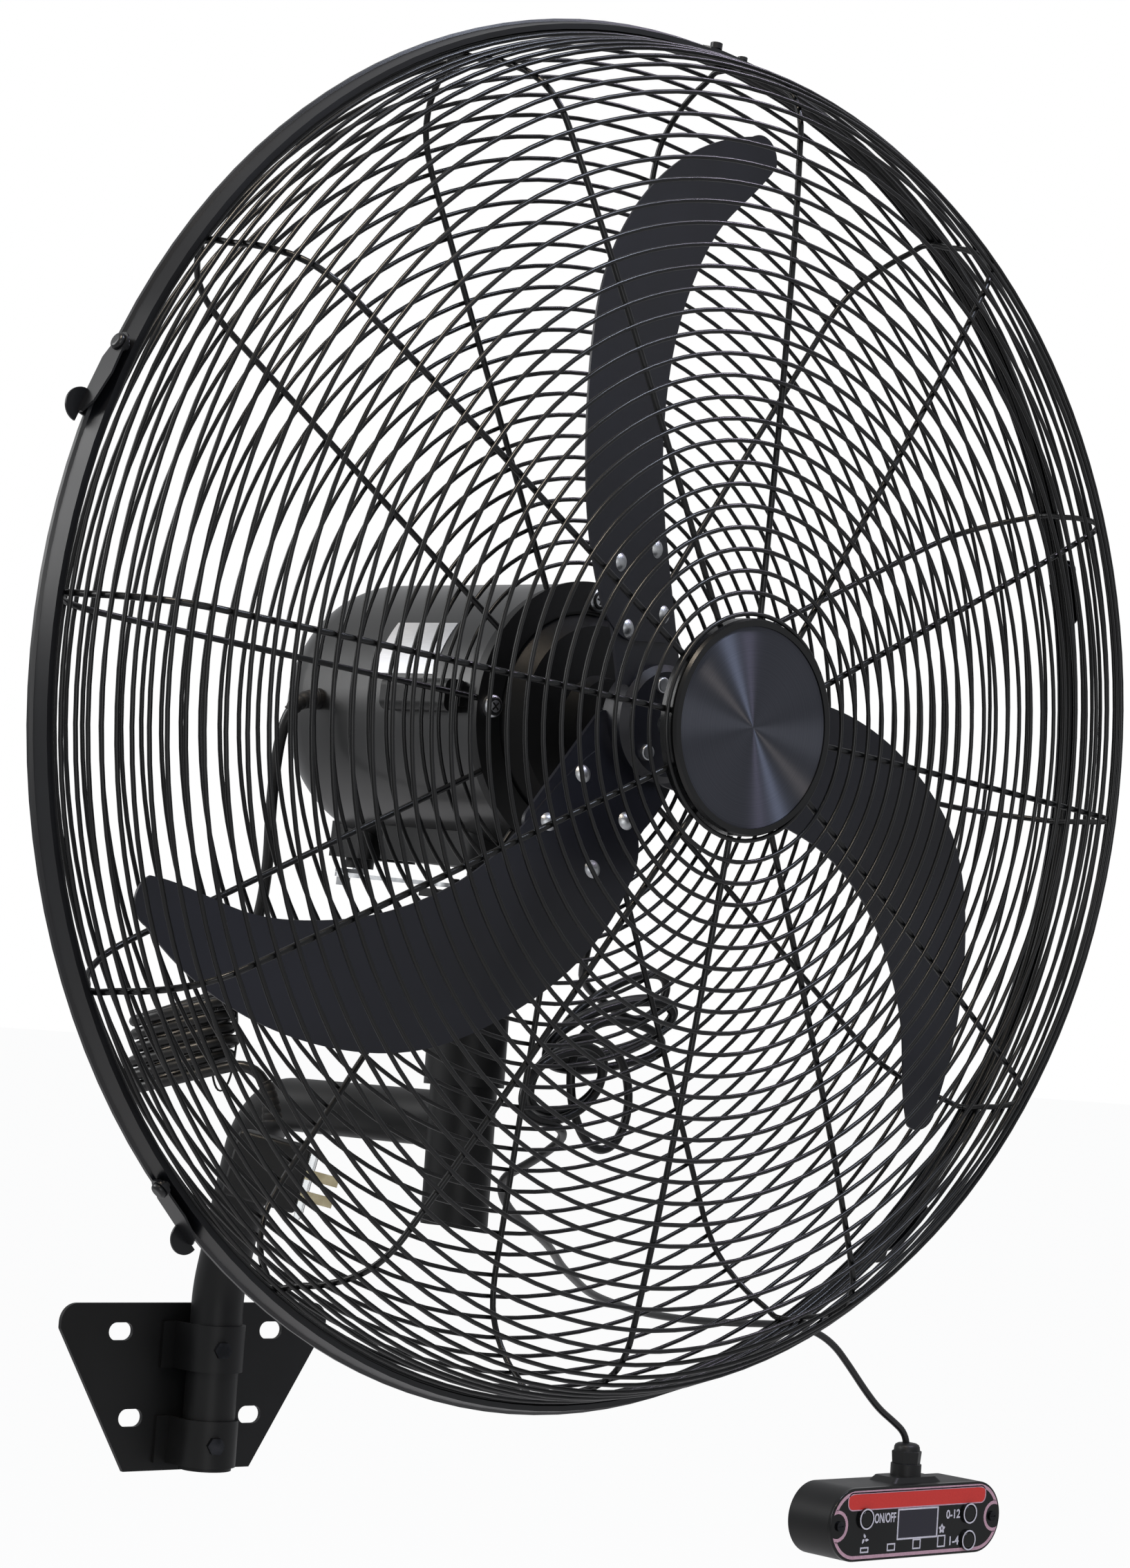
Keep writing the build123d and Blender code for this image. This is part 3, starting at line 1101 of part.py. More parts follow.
def plug_parts():
    """A moulded plug with a cable sleeve, a clear cover over its face, and two flat pins."""
    body = PLUG_PLACE * fillet(Box(46, 25, 40).edges(), 4)
    sleeve = rod((-67.6, -156.4, 181.0), (-66.1, -158.0, 158.0), 6.5)
    body_and_sleeve = body + sleeve - rod(*POWER_TAIL[-2:], POWER_R + RUN)
    cover = PLUG_PLACE * (Pos(25.1, 0, -2) * fillet(Box(4, 27, 42).edges().filter_by(Axis.X), 5))
    pins = []
    for z in (-8.5, 4.5):
        cover -= PLUG_PLACE * (Pos(25, 0, z) * Box(8, 1.8, 6.4))
        pins.append(PLUG_PLACE * (Pos(33.1, 0, z) * Box(20, 1.6, 6.2)))
    return body_and_sleeve, cover, pins


# ---------------------------------------------------------------- the parts
write("wall_plate", wall_plate())
write("collar_saddles", *[collar_saddle(z) for z in COLLAR_ZS])
write("collar_set_bolts", *[set_bolt(z) for z in COLLAR_ZS])

write("support_arm", support_arm())
write("socket_tube", socket_tube())
write("neck_sleeve", neck_sleeve())
write("tilt_bolt", *tilt_bolt())

write("neck_block", HEAD * neck_block())
write("motor_rear_housing", HEAD * motor_rear_housing())
write("motor_front_bell", HEAD * motor_front_bell())
write("motor_stator", HEAD * stator_core(), HEAD * winding(True), HEAD * winding(False),
      *[HEAD * rib for rib in stator_keys()])
write("bearings", HEAD * bearing(front_bearing_y()), HEAD * bearing(REAR_BEARING_Y), HEAD * pan_bush())
write("nameplate", HEAD * nameplate())
write("capacitor_box", HEAD * capacitor_box())
write("head_bracket", HEAD * head_bracket())
write("gearbox_case", HEAD * gearbox_case())
write("cable_grommets", *[HEAD * bush for bush in cable_grommets()])

plate, screws = guard_mount()
write("guard_mount", HEAD * plate, *[HEAD * screw for screw in screws])
front_profile = guard_profile(FRONT_WALL + FRONT_FACE, FRONT_MIDDLE)
front_spots = stations(guard_profile(FRONT_WALL), WALL_PITCH, WALL_FIRST)
front_spots += stations(guard_profile(FRONT_WALL[-1:] + FRONT_FACE, FRONT_MIDDLE), RING_PITCH, RING_PITCH)
rear_profile = guard_profile(REAR_CORNERS, REAR_MIDDLE)
rear_spots = stations(rear_profile, RING_PITCH, RING_PITCH)
for prefix, profile, spots, outer_width, side, end_r in (
        ("front_guard", front_profile, front_spots, FRONT_OUTER_W, 1, BADGE_R + FREE),
        ("rear_guard", rear_profile, rear_spots, REAR_OUTER_W, -1, MOUNT_RING_OUT + FREE)):
    outer_rings, inner_rings = guard_rings(profile[0][1], spots, outer_width)
    write(prefix + "_outer_rings", *[HEAD * wire for wire in outer_rings])
    write(prefix + "_inner_rings", *[HEAD * wire for wire in inner_rings])
    write(prefix + "_spokes", *[HEAD * bar for bar in guard_spokes(profile, side, end_r)])
    print(prefix, len(outer_rings), "outer and", len(inner_rings), "inner rings")
write("guard_hoop", HEAD * guard_hoop())
write("hoop_fasteners", HEAD * hoop_clasp(), *[HEAD * clip_rivet(angle) for angle in CLIP_ANGLES])
for number, angle in enumerate(CLIP_ANGLES, 1):
    write(f"guard_clip_{number}", HEAD * guard_clip(angle))
badge_rim, badge_disc = badge()
write("badge_rim", HEAD * badge_rim)
write("badge_disc", HEAD * badge_disc)

write("rotor_shaft", HEAD * rotor_shaft())
write("rotor_core", HEAD * rotor_core())
write("fan_spider", HEAD * spider())
for number in range(3):
    write(f"blade_{number + 1}", HEAD * at_angle(BLADE_PHASE + 120 * number, blade()))
rivets = [at_angle(BLADE_PHASE + 120 * number, blade_rivet(*arm_spot(*spot)))
          for number in range(3) for spot in rivet_spots()]
write("rotor_rivets", *[HEAD * rivet for rivet in rivets + hub_rivets()])

write("crank", HEAD * crank())
write("oscillation_link", HEAD * oscillation_link())

case = box_body()
for post in board_posts():
    case += post
write("control_box_body", case)
write("control_face_panel", face_panel())
write("control_display", *display_panels())
for name, (x, z) in BUTTONS.items():
    write(name, button(x, z))
write("control_circuit_board", circuit_board())
write("control_box_screws", box_screw(-1), box_screw(1))
write("control_cord_gland", cord_gland())

plug_body, plug_cover, plug_pins = plug_parts()
write("plug_body", plug_body, plug_cover)
write("plug_pins", *plug_pins)

power_start, power_end = power_hank_place(0), power_hank_place(POWER_HANK_LOOPS)
control_start, control_end = control_hank_place(0), control_hank_place(CONTROL_HANK_LOOPS)
write("power_cord_hank", coil_tube(power_hank_place, POWER_HANK_LOOPS, POWER_R, "power hank"))
write("control_cord_hank", coil_tube(control_hank_place, CONTROL_HANK_LOOPS, CONTROL_R, "control hank"))
power_in = [beyond(power_hank_place, 0, -14), power_start]
power_out = [power_end, beyond(power_hank_place, POWER_HANK_LOOPS, 20)]
control_in = [beyond(control_hank_place, 0, -18), control_start]
control_out = [control_end, beyond(control_hank_place, CONTROL_HANK_LOOPS, 13)]
power_upper = grommet_points(0, 75, 90) + POWER_UPPER + power_in
control_upper = grommet_points(1, 76, 96) + CONTROL_UPPER + control_in
write("power_cord_upper", cord(power_upper, POWER_R, "power upper"))
write("power_cord_tail", cord(power_out + POWER_TAIL, POWER_R, "power tail"))
write("control_cord_upper", cord(control_upper, CONTROL_R, "control upper"))
write("control_cord_lead_1", cord(control_out + LEAD_HEAD, CONTROL_R, "control lead 1"))
write("control_cord_lead_2", cord(LEAD_NECK, CONTROL_R, "control lead 2"))
write("control_cord_lead_3", cord(LEAD_ARM, CONTROL_R, "control lead 3"))
print(len(written), "parts")
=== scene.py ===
"""Finish and fine detail of a black wall fan: coatings, cords, printed face, screws and strain reliefs."""
import math

import bpy
from mathutils import Matrix, Vector


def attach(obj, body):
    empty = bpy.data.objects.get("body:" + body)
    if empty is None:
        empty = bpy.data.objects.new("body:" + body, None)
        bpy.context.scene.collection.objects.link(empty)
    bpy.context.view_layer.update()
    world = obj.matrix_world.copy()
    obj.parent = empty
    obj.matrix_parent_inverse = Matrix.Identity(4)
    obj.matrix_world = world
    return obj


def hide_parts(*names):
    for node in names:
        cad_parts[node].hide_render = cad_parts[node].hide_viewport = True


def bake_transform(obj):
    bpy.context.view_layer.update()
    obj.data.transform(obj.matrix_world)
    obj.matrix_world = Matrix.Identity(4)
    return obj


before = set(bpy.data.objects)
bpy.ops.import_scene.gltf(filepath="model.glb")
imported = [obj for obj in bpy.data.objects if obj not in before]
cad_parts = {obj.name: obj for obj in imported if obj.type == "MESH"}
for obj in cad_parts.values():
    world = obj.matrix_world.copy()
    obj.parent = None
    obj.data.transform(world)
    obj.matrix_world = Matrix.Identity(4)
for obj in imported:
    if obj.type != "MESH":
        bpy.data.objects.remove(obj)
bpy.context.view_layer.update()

MM = 0.001

HEAD_TILT = math.radians(3.3)
HOOP_MIDDLE = Vector((0, -0.3744, 0.4183))
POWER_RADIUS = 3.5 * MM
CONTROL_RADIUS = 2.75 * MM
POWER_LOOPS = 5.75
CONTROL_LOOPS = 8
# the guard's mount: its screws' circle and the level of their heads in the head frame
MOUNT_SCREW_CIRCLE = .0715
MOUNT_SCREW_SEAT = .0334
# the control box: lower edge of its red strip, and each button's name and place on the face in millimetres
STRIP_EDGE = -0.1096
BUTTON_SPOTS = (("on_off", -60.5, 4.5), ("time", 60.5, 3.5), ("speed", 60.5, -17.5))


# ---------------------------------------------------------------- camera
def point_camera():
    """A long lens to the left of the fan and a little below its middle, rolled four degrees."""
    lens = bpy.data.cameras.new("camera")
    lens.lens, lens.sensor_width, lens.sensor_fit = 100.6, 36.0, "HORIZONTAL"
    camera = bpy.data.objects.new("camera", lens)
    bpy.context.scene.collection.objects.link(camera)
    right, up = Vector((0.7425, -0.6663, 0.0689)), Vector((-0.1075, -0.0170, 0.9941))
    ahead = Vector((0.6612, 0.7455, 0.0843))
    turn = Matrix((right, up, -ahead)).transposed().to_4x4()
    camera.matrix_world = Matrix.Translation((-1.2306, -1.7162, 0.2265)) @ turn
    bpy.context.scene.camera = camera


point_camera()


# ---------------------------------------------------------------- materials
def linear(code):
    """The linear colour of an sRGB hex code."""
    values = [int(code[i:i + 2], 16) / 255 for i in (1, 3, 5)]
    return tuple(v / 12.92 if v <= 0.04045 else ((v + 0.055) / 1.055) ** 2.4 for v in values) + (1.0,)


def add(tree, kind, values=None, links=None, **settings):
    """One node with its settings, its socket values and what feeds it."""
    node = tree.nodes.new(kind)
    for name, value in settings.items():
        setattr(node, name, value)
    for name, value in (values or {}).items():
        node.inputs[name].default_value = value
    for name, (source, output) in (links or {}).items():
        tree.links.new(source.outputs[output], node.inputs[name])
    return node


def finish(name, **values):
    """A new material with a Principled shader; returns it, its tree and the shader."""
    made = bpy.data.materials.new(name)
    made.use_nodes = True
    shader = made.node_tree.nodes["Principled BSDF"]
    for socket, value in values.items():
        shader.inputs[socket.replace("_", " ").title().replace("Ior", "IOR")].default_value = value
    return made, made.node_tree, shader


def per_mm(size):
    """Noise scale for a grain of this size in millimetres."""
    return 1000.0 / size


def two_tones(ramp, dark, light):
    """Sets the colours at the ends of a colour ramp."""
    ends = ramp.color_ramp.elements
    ends[0].color, ends[1].color = linear(dark), linear(light)


def coat_surface(tree, shader, dark, light, rough, grain, height, patch=60.0):
    """Two close tones in broad patches, roughness that wanders a little, and a fine grain in the bump."""
    place = add(tree, "ShaderNodeTexCoord")
    broad = add(tree, "ShaderNodeTexNoise", {"Scale": per_mm(patch), "Detail": 4.0},
                {"Vector": (place, "Object")})
    fine = add(tree, "ShaderNodeTexNoise", {"Scale": per_mm(grain), "Detail": 2.0},
               {"Vector": (place, "Object")})
    tones = add(tree, "ShaderNodeValToRGB", links={"Fac": (broad, "Fac")})
    tones.color_ramp.elements[0].position, tones.color_ramp.elements[1].position = 0.35, 0.68
    two_tones(tones, dark, light)
    gloss = add(tree, "ShaderNodeMapRange", {"From Min": 0.3, "From Max": 0.7, "To Min": rough - 0.04,
                                             "To Max": rough + 0.05}, {"Value": (broad, "Fac")})
    bump = add(tree, "ShaderNodeBump", {"Strength": 1.0, "Distance": height * MM}, {"Height": (fine, "Fac")})
    tree.links.new(tones.outputs["Color"], shader.inputs["Base Color"])
    tree.links.new(gloss.outputs["Result"], shader.inputs["Roughness"])
    tree.links.new(bump.outputs["Normal"], shader.inputs["Normal"])
    return place, tones


def powder_coated_steel():
    # polyester powder baked on steel: satin black, with a fine orange peel that breaks the highlights
    made, tree, shader = finish("powder_coated_steel", ior=1.36)
    coat_surface(tree, shader, "#0e0f10", "#151617", 0.42, 0.9, 0.012)
    return made


def coated_wire():
    # drawn steel wire under electrophoretic black: thin smooth coat, so that each wire keeps a sharp
    # pale line of light
    made, tree, shader = finish("coated_wire", ior=1.4)
    coat_surface(tree, shader, "#0c0d0e", "#131415", 0.28, 0.7, 0.006)
    return made


def motor_enamel():
    # stoving enamel over a drawn steel shell: glossy charcoal that mirrors the pale room in broad soft bands
    made, tree, shader = finish("motor_enamel", ior=1.5, coat_weight=0.4, coat_roughness=0.14)
    coat_surface(tree, shader, "#101112", "#171819", 0.34, 1.4, 0.008)
    return made


def painted_casting():
    # sand-cast iron under black paint: coarse skin, dull sheen
    made, tree, shader = finish("painted_casting", ior=1.38)
    coat_surface(tree, shader, "#0c0d0e", "#131415", 0.46, 1.8, 0.05)
    return made


def blade_paint():
    # satin blue-black paint on pressed steel sheet: wide soft gradients, with a hint of blue in the light
    made, tree, shader = finish("blade_paint", ior=1.5)
    coat_surface(tree, shader, "#13141b", "#1b1d27", 0.36, 0.8, 0.010, patch=120.0)
    return made


def hoop_paint():
    # smooth black paint on a rolled steel band: blue-grey sheen where it turns to the light
    made, tree, shader = finish("hoop_paint", ior=1.45)
    coat_surface(tree, shader, "#0e0f12", "#15171b", 0.32, 0.9, 0.008)
    return made


def moulded_black(name, rough=0.42, grain=0.6, height=0.015):
    # injection-moulded ABS with a light spark texture: soft even black
    made, tree, shader = finish(name, ior=1.4)
    coat_surface(tree, shader, "#0b0c0d", "#121314", rough, grain, height)
    return made


def soft_rubber():
    # moulded rubber: dull, slightly dusty black
    made, tree, shader = finish("soft_rubber", ior=1.4, sheen_weight=0.05)
    coat_surface(tree, shader, "#0b0b0c", "#111112", 0.60, 0.8, 0.02)
    return made


def cord_sheath():
    # extruded PVC: smooth black with a soft line of light along its length
    made, tree, shader = finish("cord_sheath", ior=1.45)
    coat_surface(tree, shader, "#0b0c0d", "#131415", 0.34, 2.5, 0.02, patch=30.0)
    return made


def bright_zinc(name="bright_zinc", dark="#b4b7bb", light="#dcdee0", rough=0.36):
    # clear-passivated zinc on steel: bright, slightly clouded metal with fine handling marks
    made, tree, shader = finish(name, metallic=1.0)
    coat_surface(tree, shader, dark, light, rough, 0.5, 0.006, patch=8.0)
    return made


def spun_disc():
    # dark anodised aluminium, faced on a lathe: rings too fine to see fan the light into bright wedges
    made, tree, shader = finish("spun_disc", metallic=1.0, anisotropic=1.0)
    centre = HOOP_MIDDLE + Matrix.Rotation(HEAD_TILT, 3, "X") @ Vector((0, -109 * MM, 0))
    place = add(tree, "ShaderNodeTexCoord")
    local = add(tree, "ShaderNodeMapping", {"Location": centre, "Rotation": (HEAD_TILT, 0, 0)},
                {"Vector": (place, "Object")}, vector_type="TEXTURE")
    flat = add(tree, "ShaderNodeVectorMath", {1: (1.0, 0.0, 1.0)}, {0: (local, "Vector")},
               operation="MULTIPLY")
    reach = add(tree, "ShaderNodeVectorMath", links={0: (flat, "Vector")}, operation="LENGTH")
    # turning marks, drawn 0.6 mm wide so that they show
    rings = add(tree, "ShaderNodeTexNoise", {"W": 0.0, "Scale": per_mm(0.6), "Detail": 3.0},
                noise_dimensions="1D")
    tree.links.new(reach.outputs["Value"], rings.inputs["W"])
    tones = add(tree, "ShaderNodeValToRGB", links={"Fac": (rings, "Fac")})
    two_tones(tones, "#45474f", "#5c5e66")
    gloss = add(tree, "ShaderNodeMapRange", {"To Min": 0.44, "To Max": 0.52}, {"Value": (rings, "Fac")})
    turned = add(tree, "ShaderNodeVectorRotate", {"Center": (0, 0, 0), "Axis": (1, 0, 0), "Angle": HEAD_TILT},
                 {"Vector": (flat, "Vector")}, rotation_type="AXIS_ANGLE")
    along = add(tree, "ShaderNodeVectorMath", links={0: (turned, "Vector")}, operation="NORMALIZE")
    tree.links.new(along.outputs["Vector"], shader.inputs["Tangent"])
    tree.links.new(tones.outputs["Color"], shader.inputs["Base Color"])
    tree.links.new(gloss.outputs["Result"], shader.inputs["Roughness"])
    return made


def label_foil():
    # silver polyester label: pale, faintly brushed, with a satin sheen
    made, tree, shader = finish("label_foil", metallic=0.55, ior=1.5)
    place = add(tree, "ShaderNodeTexCoord")
    stretch = add(tree, "ShaderNodeMapping", {"Scale": (1.0, 0.04, 1.0)}, {"Vector": (place, "Object")})
    brush = add(tree, "ShaderNodeTexNoise", {"Scale": per_mm(0.5), "Detail": 3.0},
                {"Vector": (stretch, "Vector")})
    tones = add(tree, "ShaderNodeValToRGB", links={"Fac": (brush, "Fac")})
    two_tones(tones, "#c3c5c9", "#dadbde")
    gloss = add(tree, "ShaderNodeMapRange", {"To Min": 0.34, "To Max": 0.46}, {"Value": (brush, "Fac")})
    tree.links.new(tones.outputs["Color"], shader.inputs["Base Color"])
    tree.links.new(gloss.outputs["Result"], shader.inputs["Roughness"])
    return made


def lamination_stack():
    # stacked electrical steel beside enamelled copper windings: fine grey layers, warm varnished ends
    made, tree, shader = finish("lamination_stack", metallic=0.8)
    place = add(tree, "ShaderNodeTexCoord")
    layers = add(tree, "ShaderNodeTexWave", {"Scale": per_mm(1.0) / 20, "Distortion": 0.3},
                 {"Vector": (place, "Object")}, bands_direction="Y")
    axes = add(tree, "ShaderNodeSeparateXYZ", links={"Vector": (place, "Object")})
    middle = add(tree, "ShaderNodeMath", {1: 0.252}, {0: (axes, "Y")}, operation="ADD")
    away = add(tree, "ShaderNodeMath", links={0: (middle, "Value")}, operation="ABSOLUTE")
    ends = add(tree, "ShaderNodeMath", {1: 0.031}, {0: (away, "Value")}, operation="GREATER_THAN")
    grey = add(tree, "ShaderNodeValToRGB", links={"Fac": (layers, "Fac")})
    two_tones(grey, "#5c5f63", "#8c9094")
    both = add(tree, "ShaderNodeMix", {7: linear("#8a4a24")}, {0: (ends, "Value"), 6: (grey, "Color")},
               data_type="RGBA")
    bump = add(tree, "ShaderNodeBump", {"Distance": 0.05 * MM}, {"Height": (layers, "Fac")})
    tree.links.new(both.outputs[2], shader.inputs["Base Color"])
    tree.links.new(bump.outputs["Normal"], shader.inputs["Normal"])
    shader.inputs["Roughness"].default_value = 0.45
    return made


def board_laminate():
    # glass epoxy under green solder resist: semi-gloss, with a faint weave
    made, tree, shader = finish("board_laminate", ior=1.55)
    coat_surface(tree, shader, "#12402a", "#1a5236", 0.35, 0.5, 0.01, patch=10.0)
    return made


def display_film():
    # a smoked window under a blank red strip, both on one glossy film
    made, tree, shader = finish("display_film", ior=1.5)
    place = add(tree, "ShaderNodeTexCoord")
    axes = add(tree, "ShaderNodeSeparateXYZ", links={"Vector": (place, "Object")})
    above = add(tree, "ShaderNodeMath", {1: STRIP_EDGE}, {0: (axes, "Z")}, operation="GREATER_THAN")
    speck = add(tree, "ShaderNodeTexNoise", {"Scale": per_mm(1.5), "Detail": 3.0},
                {"Vector": (place, "Object")})
    red = add(tree, "ShaderNodeValToRGB", links={"Fac": (speck, "Fac")})
    two_tones(red, "#cf2c27", "#e03a33")
    both = add(tree, "ShaderNodeMix", {6: linear("#1d1c2a")}, {0: (above, "Value"), 7: (red, "Color")},
               data_type="RGBA")
    gloss = add(tree, "ShaderNodeMapRange", {"To Min": 0.16, "To Max": 0.24}, {"Value": (speck, "Fac")})
    tree.links.new(both.outputs[2], shader.inputs["Base Color"])
    tree.links.new(gloss.outputs["Result"], shader.inputs["Roughness"])
    return made


def printed_ink(name, dark, light):
    # screen-printed ink: flat pale film with slight patchiness
    made, tree, shader = finish(name, ior=1.5)
    coat_surface(tree, shader, dark, light, 0.42, 0.3, 0.004, patch=3.0)
    return made


def clear_cover():
    # transparent moulded polycarbonate: glassy, with bright edges
    made, tree, shader = finish("clear_cover", ior=1.58, transmission_weight=1.0)
    place = add(tree, "ShaderNodeTexCoord")
    haze = add(tree, "ShaderNodeTexNoise", {"Scale": per_mm(4.0), "Detail": 3.0},
               {"Vector": (place, "Object")})
    gloss = add(tree, "ShaderNodeMapRange", {"To Min": 0.05, "To Max": 0.14}, {"Value": (haze, "Fac")})
    tint = add(tree, "ShaderNodeValToRGB", links={"Fac": (haze, "Fac")})
    two_tones(tint, "#e9eef0", "#f4f7f8")
    tree.links.new(tint.outputs["Color"], shader.inputs["Base Color"])
    tree.links.new(gloss.outputs["Result"], shader.inputs["Roughness"])
    return made


STEEL = powder_coated_steel()
WIRE = coated_wire()
ENAMEL = motor_enamel()
CASTING = painted_casting()
BLADE = blade_paint()
HOOP = hoop_paint()
PLASTIC = moulded_black("moulded_abs")
GLOSSY = moulded_black("glossy_abs", rough=0.2, grain=3.0, height=0.004)
RUBBER = soft_rubber()
SHEATH = cord_sheath()
ZINC = bright_zinc()
BLACKED = bright_zinc("blackened_steel", "#26272a", "#3a3b3f", 0.38)
BEARING = bright_zinc("bearing_steel", "#8f9296", "#b4b7ba", 0.18)
BRASS = bright_zinc("plated_brass_pins", "#b3a684", "#d2c8a8", 0.3)
DISC = spun_disc()
LABEL = label_foil()
STACK = lamination_stack()
BOARD = board_laminate()
FILM = display_film()
WHITE_INK = printed_ink("white_ink", "#cfced8", "#e2e1ea")
PINK_INK = printed_ink("pink_ink", "#c19aa9", "#d1abb9")
CLEAR = clear_cover()

NODE_FINISH = {
    STEEL: ["wall_plate", "collar_saddles", "support_arm", "socket_tube", "neck_sleeve", "motor_front_bell",
            "guard_mount"],
    BLACKED: ["collar_set_bolts", "tilt_bolt", "control_box_screws"],
    WIRE: ["front_guard_outer_rings", "front_guard_inner_rings", "front_guard_spokes",
           "rear_guard_outer_rings", "rear_guard_inner_rings", "rear_guard_spokes"],
    HOOP: ["guard_hoop", "hoop_fasteners", "guard_clip_1", "guard_clip_2", "guard_clip_3", "guard_clip_4"],
    ENAMEL: ["motor_rear_housing"],
    CASTING: ["neck_block", "head_bracket", "gearbox_case"],
    BLADE: ["blade_1", "blade_2", "blade_3", "fan_spider"],
    PLASTIC: ["capacitor_box", "control_box_body", "control_cord_gland", "plug_body"],
    GLOSSY: ["badge_rim", "control_face_panel", "button_on_off", "button_time", "button_speed"],
    RUBBER: ["cable_grommets"],
    SHEATH: ["power_cord_upper", "power_cord_hank", "power_cord_tail", "control_cord_upper",
             "control_cord_hank", "control_cord_lead_1", "control_cord_lead_2", "control_cord_lead_3"],
    ZINC: ["rotor_rivets", "crank", "oscillation_link"],
    BEARING: ["bearings", "rotor_shaft"],
    STACK: ["motor_stator", "rotor_core"],
    DISC: ["badge_disc"],
    LABEL: ["nameplate"],
    BOARD: ["control_circuit_board"],
    FILM: ["control_display"],
    BRASS: ["plug_pins"],
}
for surface, names in NODE_FINISH.items():
    for node_name in names:
        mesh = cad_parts[node_name].data
        mesh.materials.clear()
        mesh.materials.append(surface)


# ---------------------------------------------------------------- cords
def route(name, points, radius=0.0):
    """A smooth curve that runs along given points."""
    curve = bpy.data.curves.new(name, "CURVE")
    curve.dimensions, curve.bevel_depth, curve.bevel_resolution = "3D", radius, 4
    curve.resolution_u, curve.use_fill_caps = 5, True
    spline = curve.splines.new("NURBS")
    spline.points.add(len(points) - 1)
    for spot, point in zip(spline.points, points):
        spot.co = (*point, 1.0)
    spline.order_u = 3
    spline.use_endpoint_u = True
    made = bpy.data.objects.new(name, curve)
    bpy.context.scene.collection.objects.link(made)
    return made


def centre_line(points):
    """The points that the smooth curve itself passes through."""
    guide = route("guide", points)
    line = bpy.data.meshes.new_from_object(guide)
    spots = [v.co.copy() for v in line.vertices]
    bpy.data.objects.remove(guide)
    return spots


def tube(name, points, radius):
    """A mesh tube along a route."""
    curve = route(name + "_curve", points, radius)
    mesh = bpy.data.meshes.new_from_object(curve)
    bpy.data.objects.remove(curve)
    made = bpy.data.objects.new(name, mesh)
    bpy.context.scene.collection.objects.link(made)
    mesh.shade_smooth()
    return made


def give(piece, *surfaces):
    """Puts these materials, and no others, on a piece."""
    piece.data.materials.clear()
    for surface in surfaces:
        piece.data.materials.append(surface)
    return piece


def power_hank_place(t):
    """The tied power cord: flat sloping oval turns one above the other, running downwards."""
    angle, turn = 2 * math.pi * t, math.radians(-42.0)
    a = (30.0 + 2.0 * math.sin(1.9 * t)) * math.cos(angle)
    b = (17.0 + 1.5 * math.cos(1.3 * t)) * math.sin(angle)
    return Vector((-100 + a * math.cos(turn) - b * math.sin(turn),
                   -104 + a * math.sin(turn) + b * math.cos(turn),
                   217 + 8.4 * (3.0 - t) + 0.35 * a)) * MM


# each turn: middle x at the front of the hank, middle z, half length, half width, lean in degrees
CONTROL_HANK_TURNS = ((92, 272, 24, 22, 20), (76, 246, 50, 16, 14), (74, 243, 54, 14, 15),
                      (72, 241, 55, 15, 16), (71, 238, 54, 17, 17), (70, 205, 27, 38, 8),
                      (38, 212, 33, 20, 25), (36, 206, 33, 19, 22), (36, 206, 33, 19, 22))


def control_hank_place(t):
    """The tied control cord: leaning turns from back to front, each blended into the next."""
    t = min(max(t, 0.0), CONTROL_LOOPS - 1e-9)
    k = int(t)
    share = (t - k) ** 2 * (3 - 2 * (t - k))
    x, z, half_length, half_width, lean = (
        p + (q - p) * share for p, q in zip(CONTROL_HANK_TURNS[k], CONTROL_HANK_TURNS[k + 1]))
    y = -257.5 - 7.0 * t + 5.0 * max(0.0, 1.0 - t) ** 2
    angle, lean = 2 * math.pi * (t + 0.625), math.radians(lean)
    a, b = half_length * math.cos(angle), half_width * math.sin(angle)
    x += 0.92 * (y + 305.0)
    return Vector((x + a * math.cos(lean) - b * math.sin(lean), y,
                   z + a * math.sin(lean) + b * math.cos(lean))) * MM


def turns(place, loops, per_turn=16):
    """Control points round a hank, a little wide so that the smooth line keeps the hank's size."""
    count = int(loops * per_turn)
    return [place(loops * i / count) for i in range(count + 1)]


def power_cord():
    """From the motor down into its hank and on to the plug."""
    points = [Vector(p) for p in (
        (-.075, -.18871, .42901), (-.09, -.18871, .42901), (-.0995, -.187, .4205), (-.1015, -.182, .405),
        (-.098, -.174, .383), (-.095, -.169, .357), (-.093, -.168, .330), (-.092, -.163, .300),
        (-.095, -.157, .277), (-.093, -.146, .259), (-.08739, -.13415, .25355))]
    points += turns(power_hank_place, POWER_LOOPS)
    points += [Vector(p) for p in ((-.09739, -.12971, .19969), (-.080, -.145, .2065), (-.0683, -.1556, .192),
                                   (-.067, -.157, .172))]
    cord = give(tube("power_cord", points, POWER_RADIUS), SHEATH)
    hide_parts("power_cord_upper", "power_cord_hank", "power_cord_tail")
    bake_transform(cord)
    return cord, centre_line(points)


def control_cord():
    """From the underside of the motor into its hank."""
    points = [Vector(p) for p in (
        (.04359, -.30093, .36018), (.05506, -.29999, .34382), (.060, -.298, .322), (.066, -.288, .302),
        (.078, -.270, .284), (.090, -.255, .271), (.11351, -.25017, .25916))]
    points += turns(control_hank_place, CONTROL_LOOPS)
    cord = give(route("control_cord", points, CONTROL_RADIUS), SHEATH)
    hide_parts("control_cord_upper", "control_cord_hank")
    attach(cord, "head")
    return cord, centre_line(points)


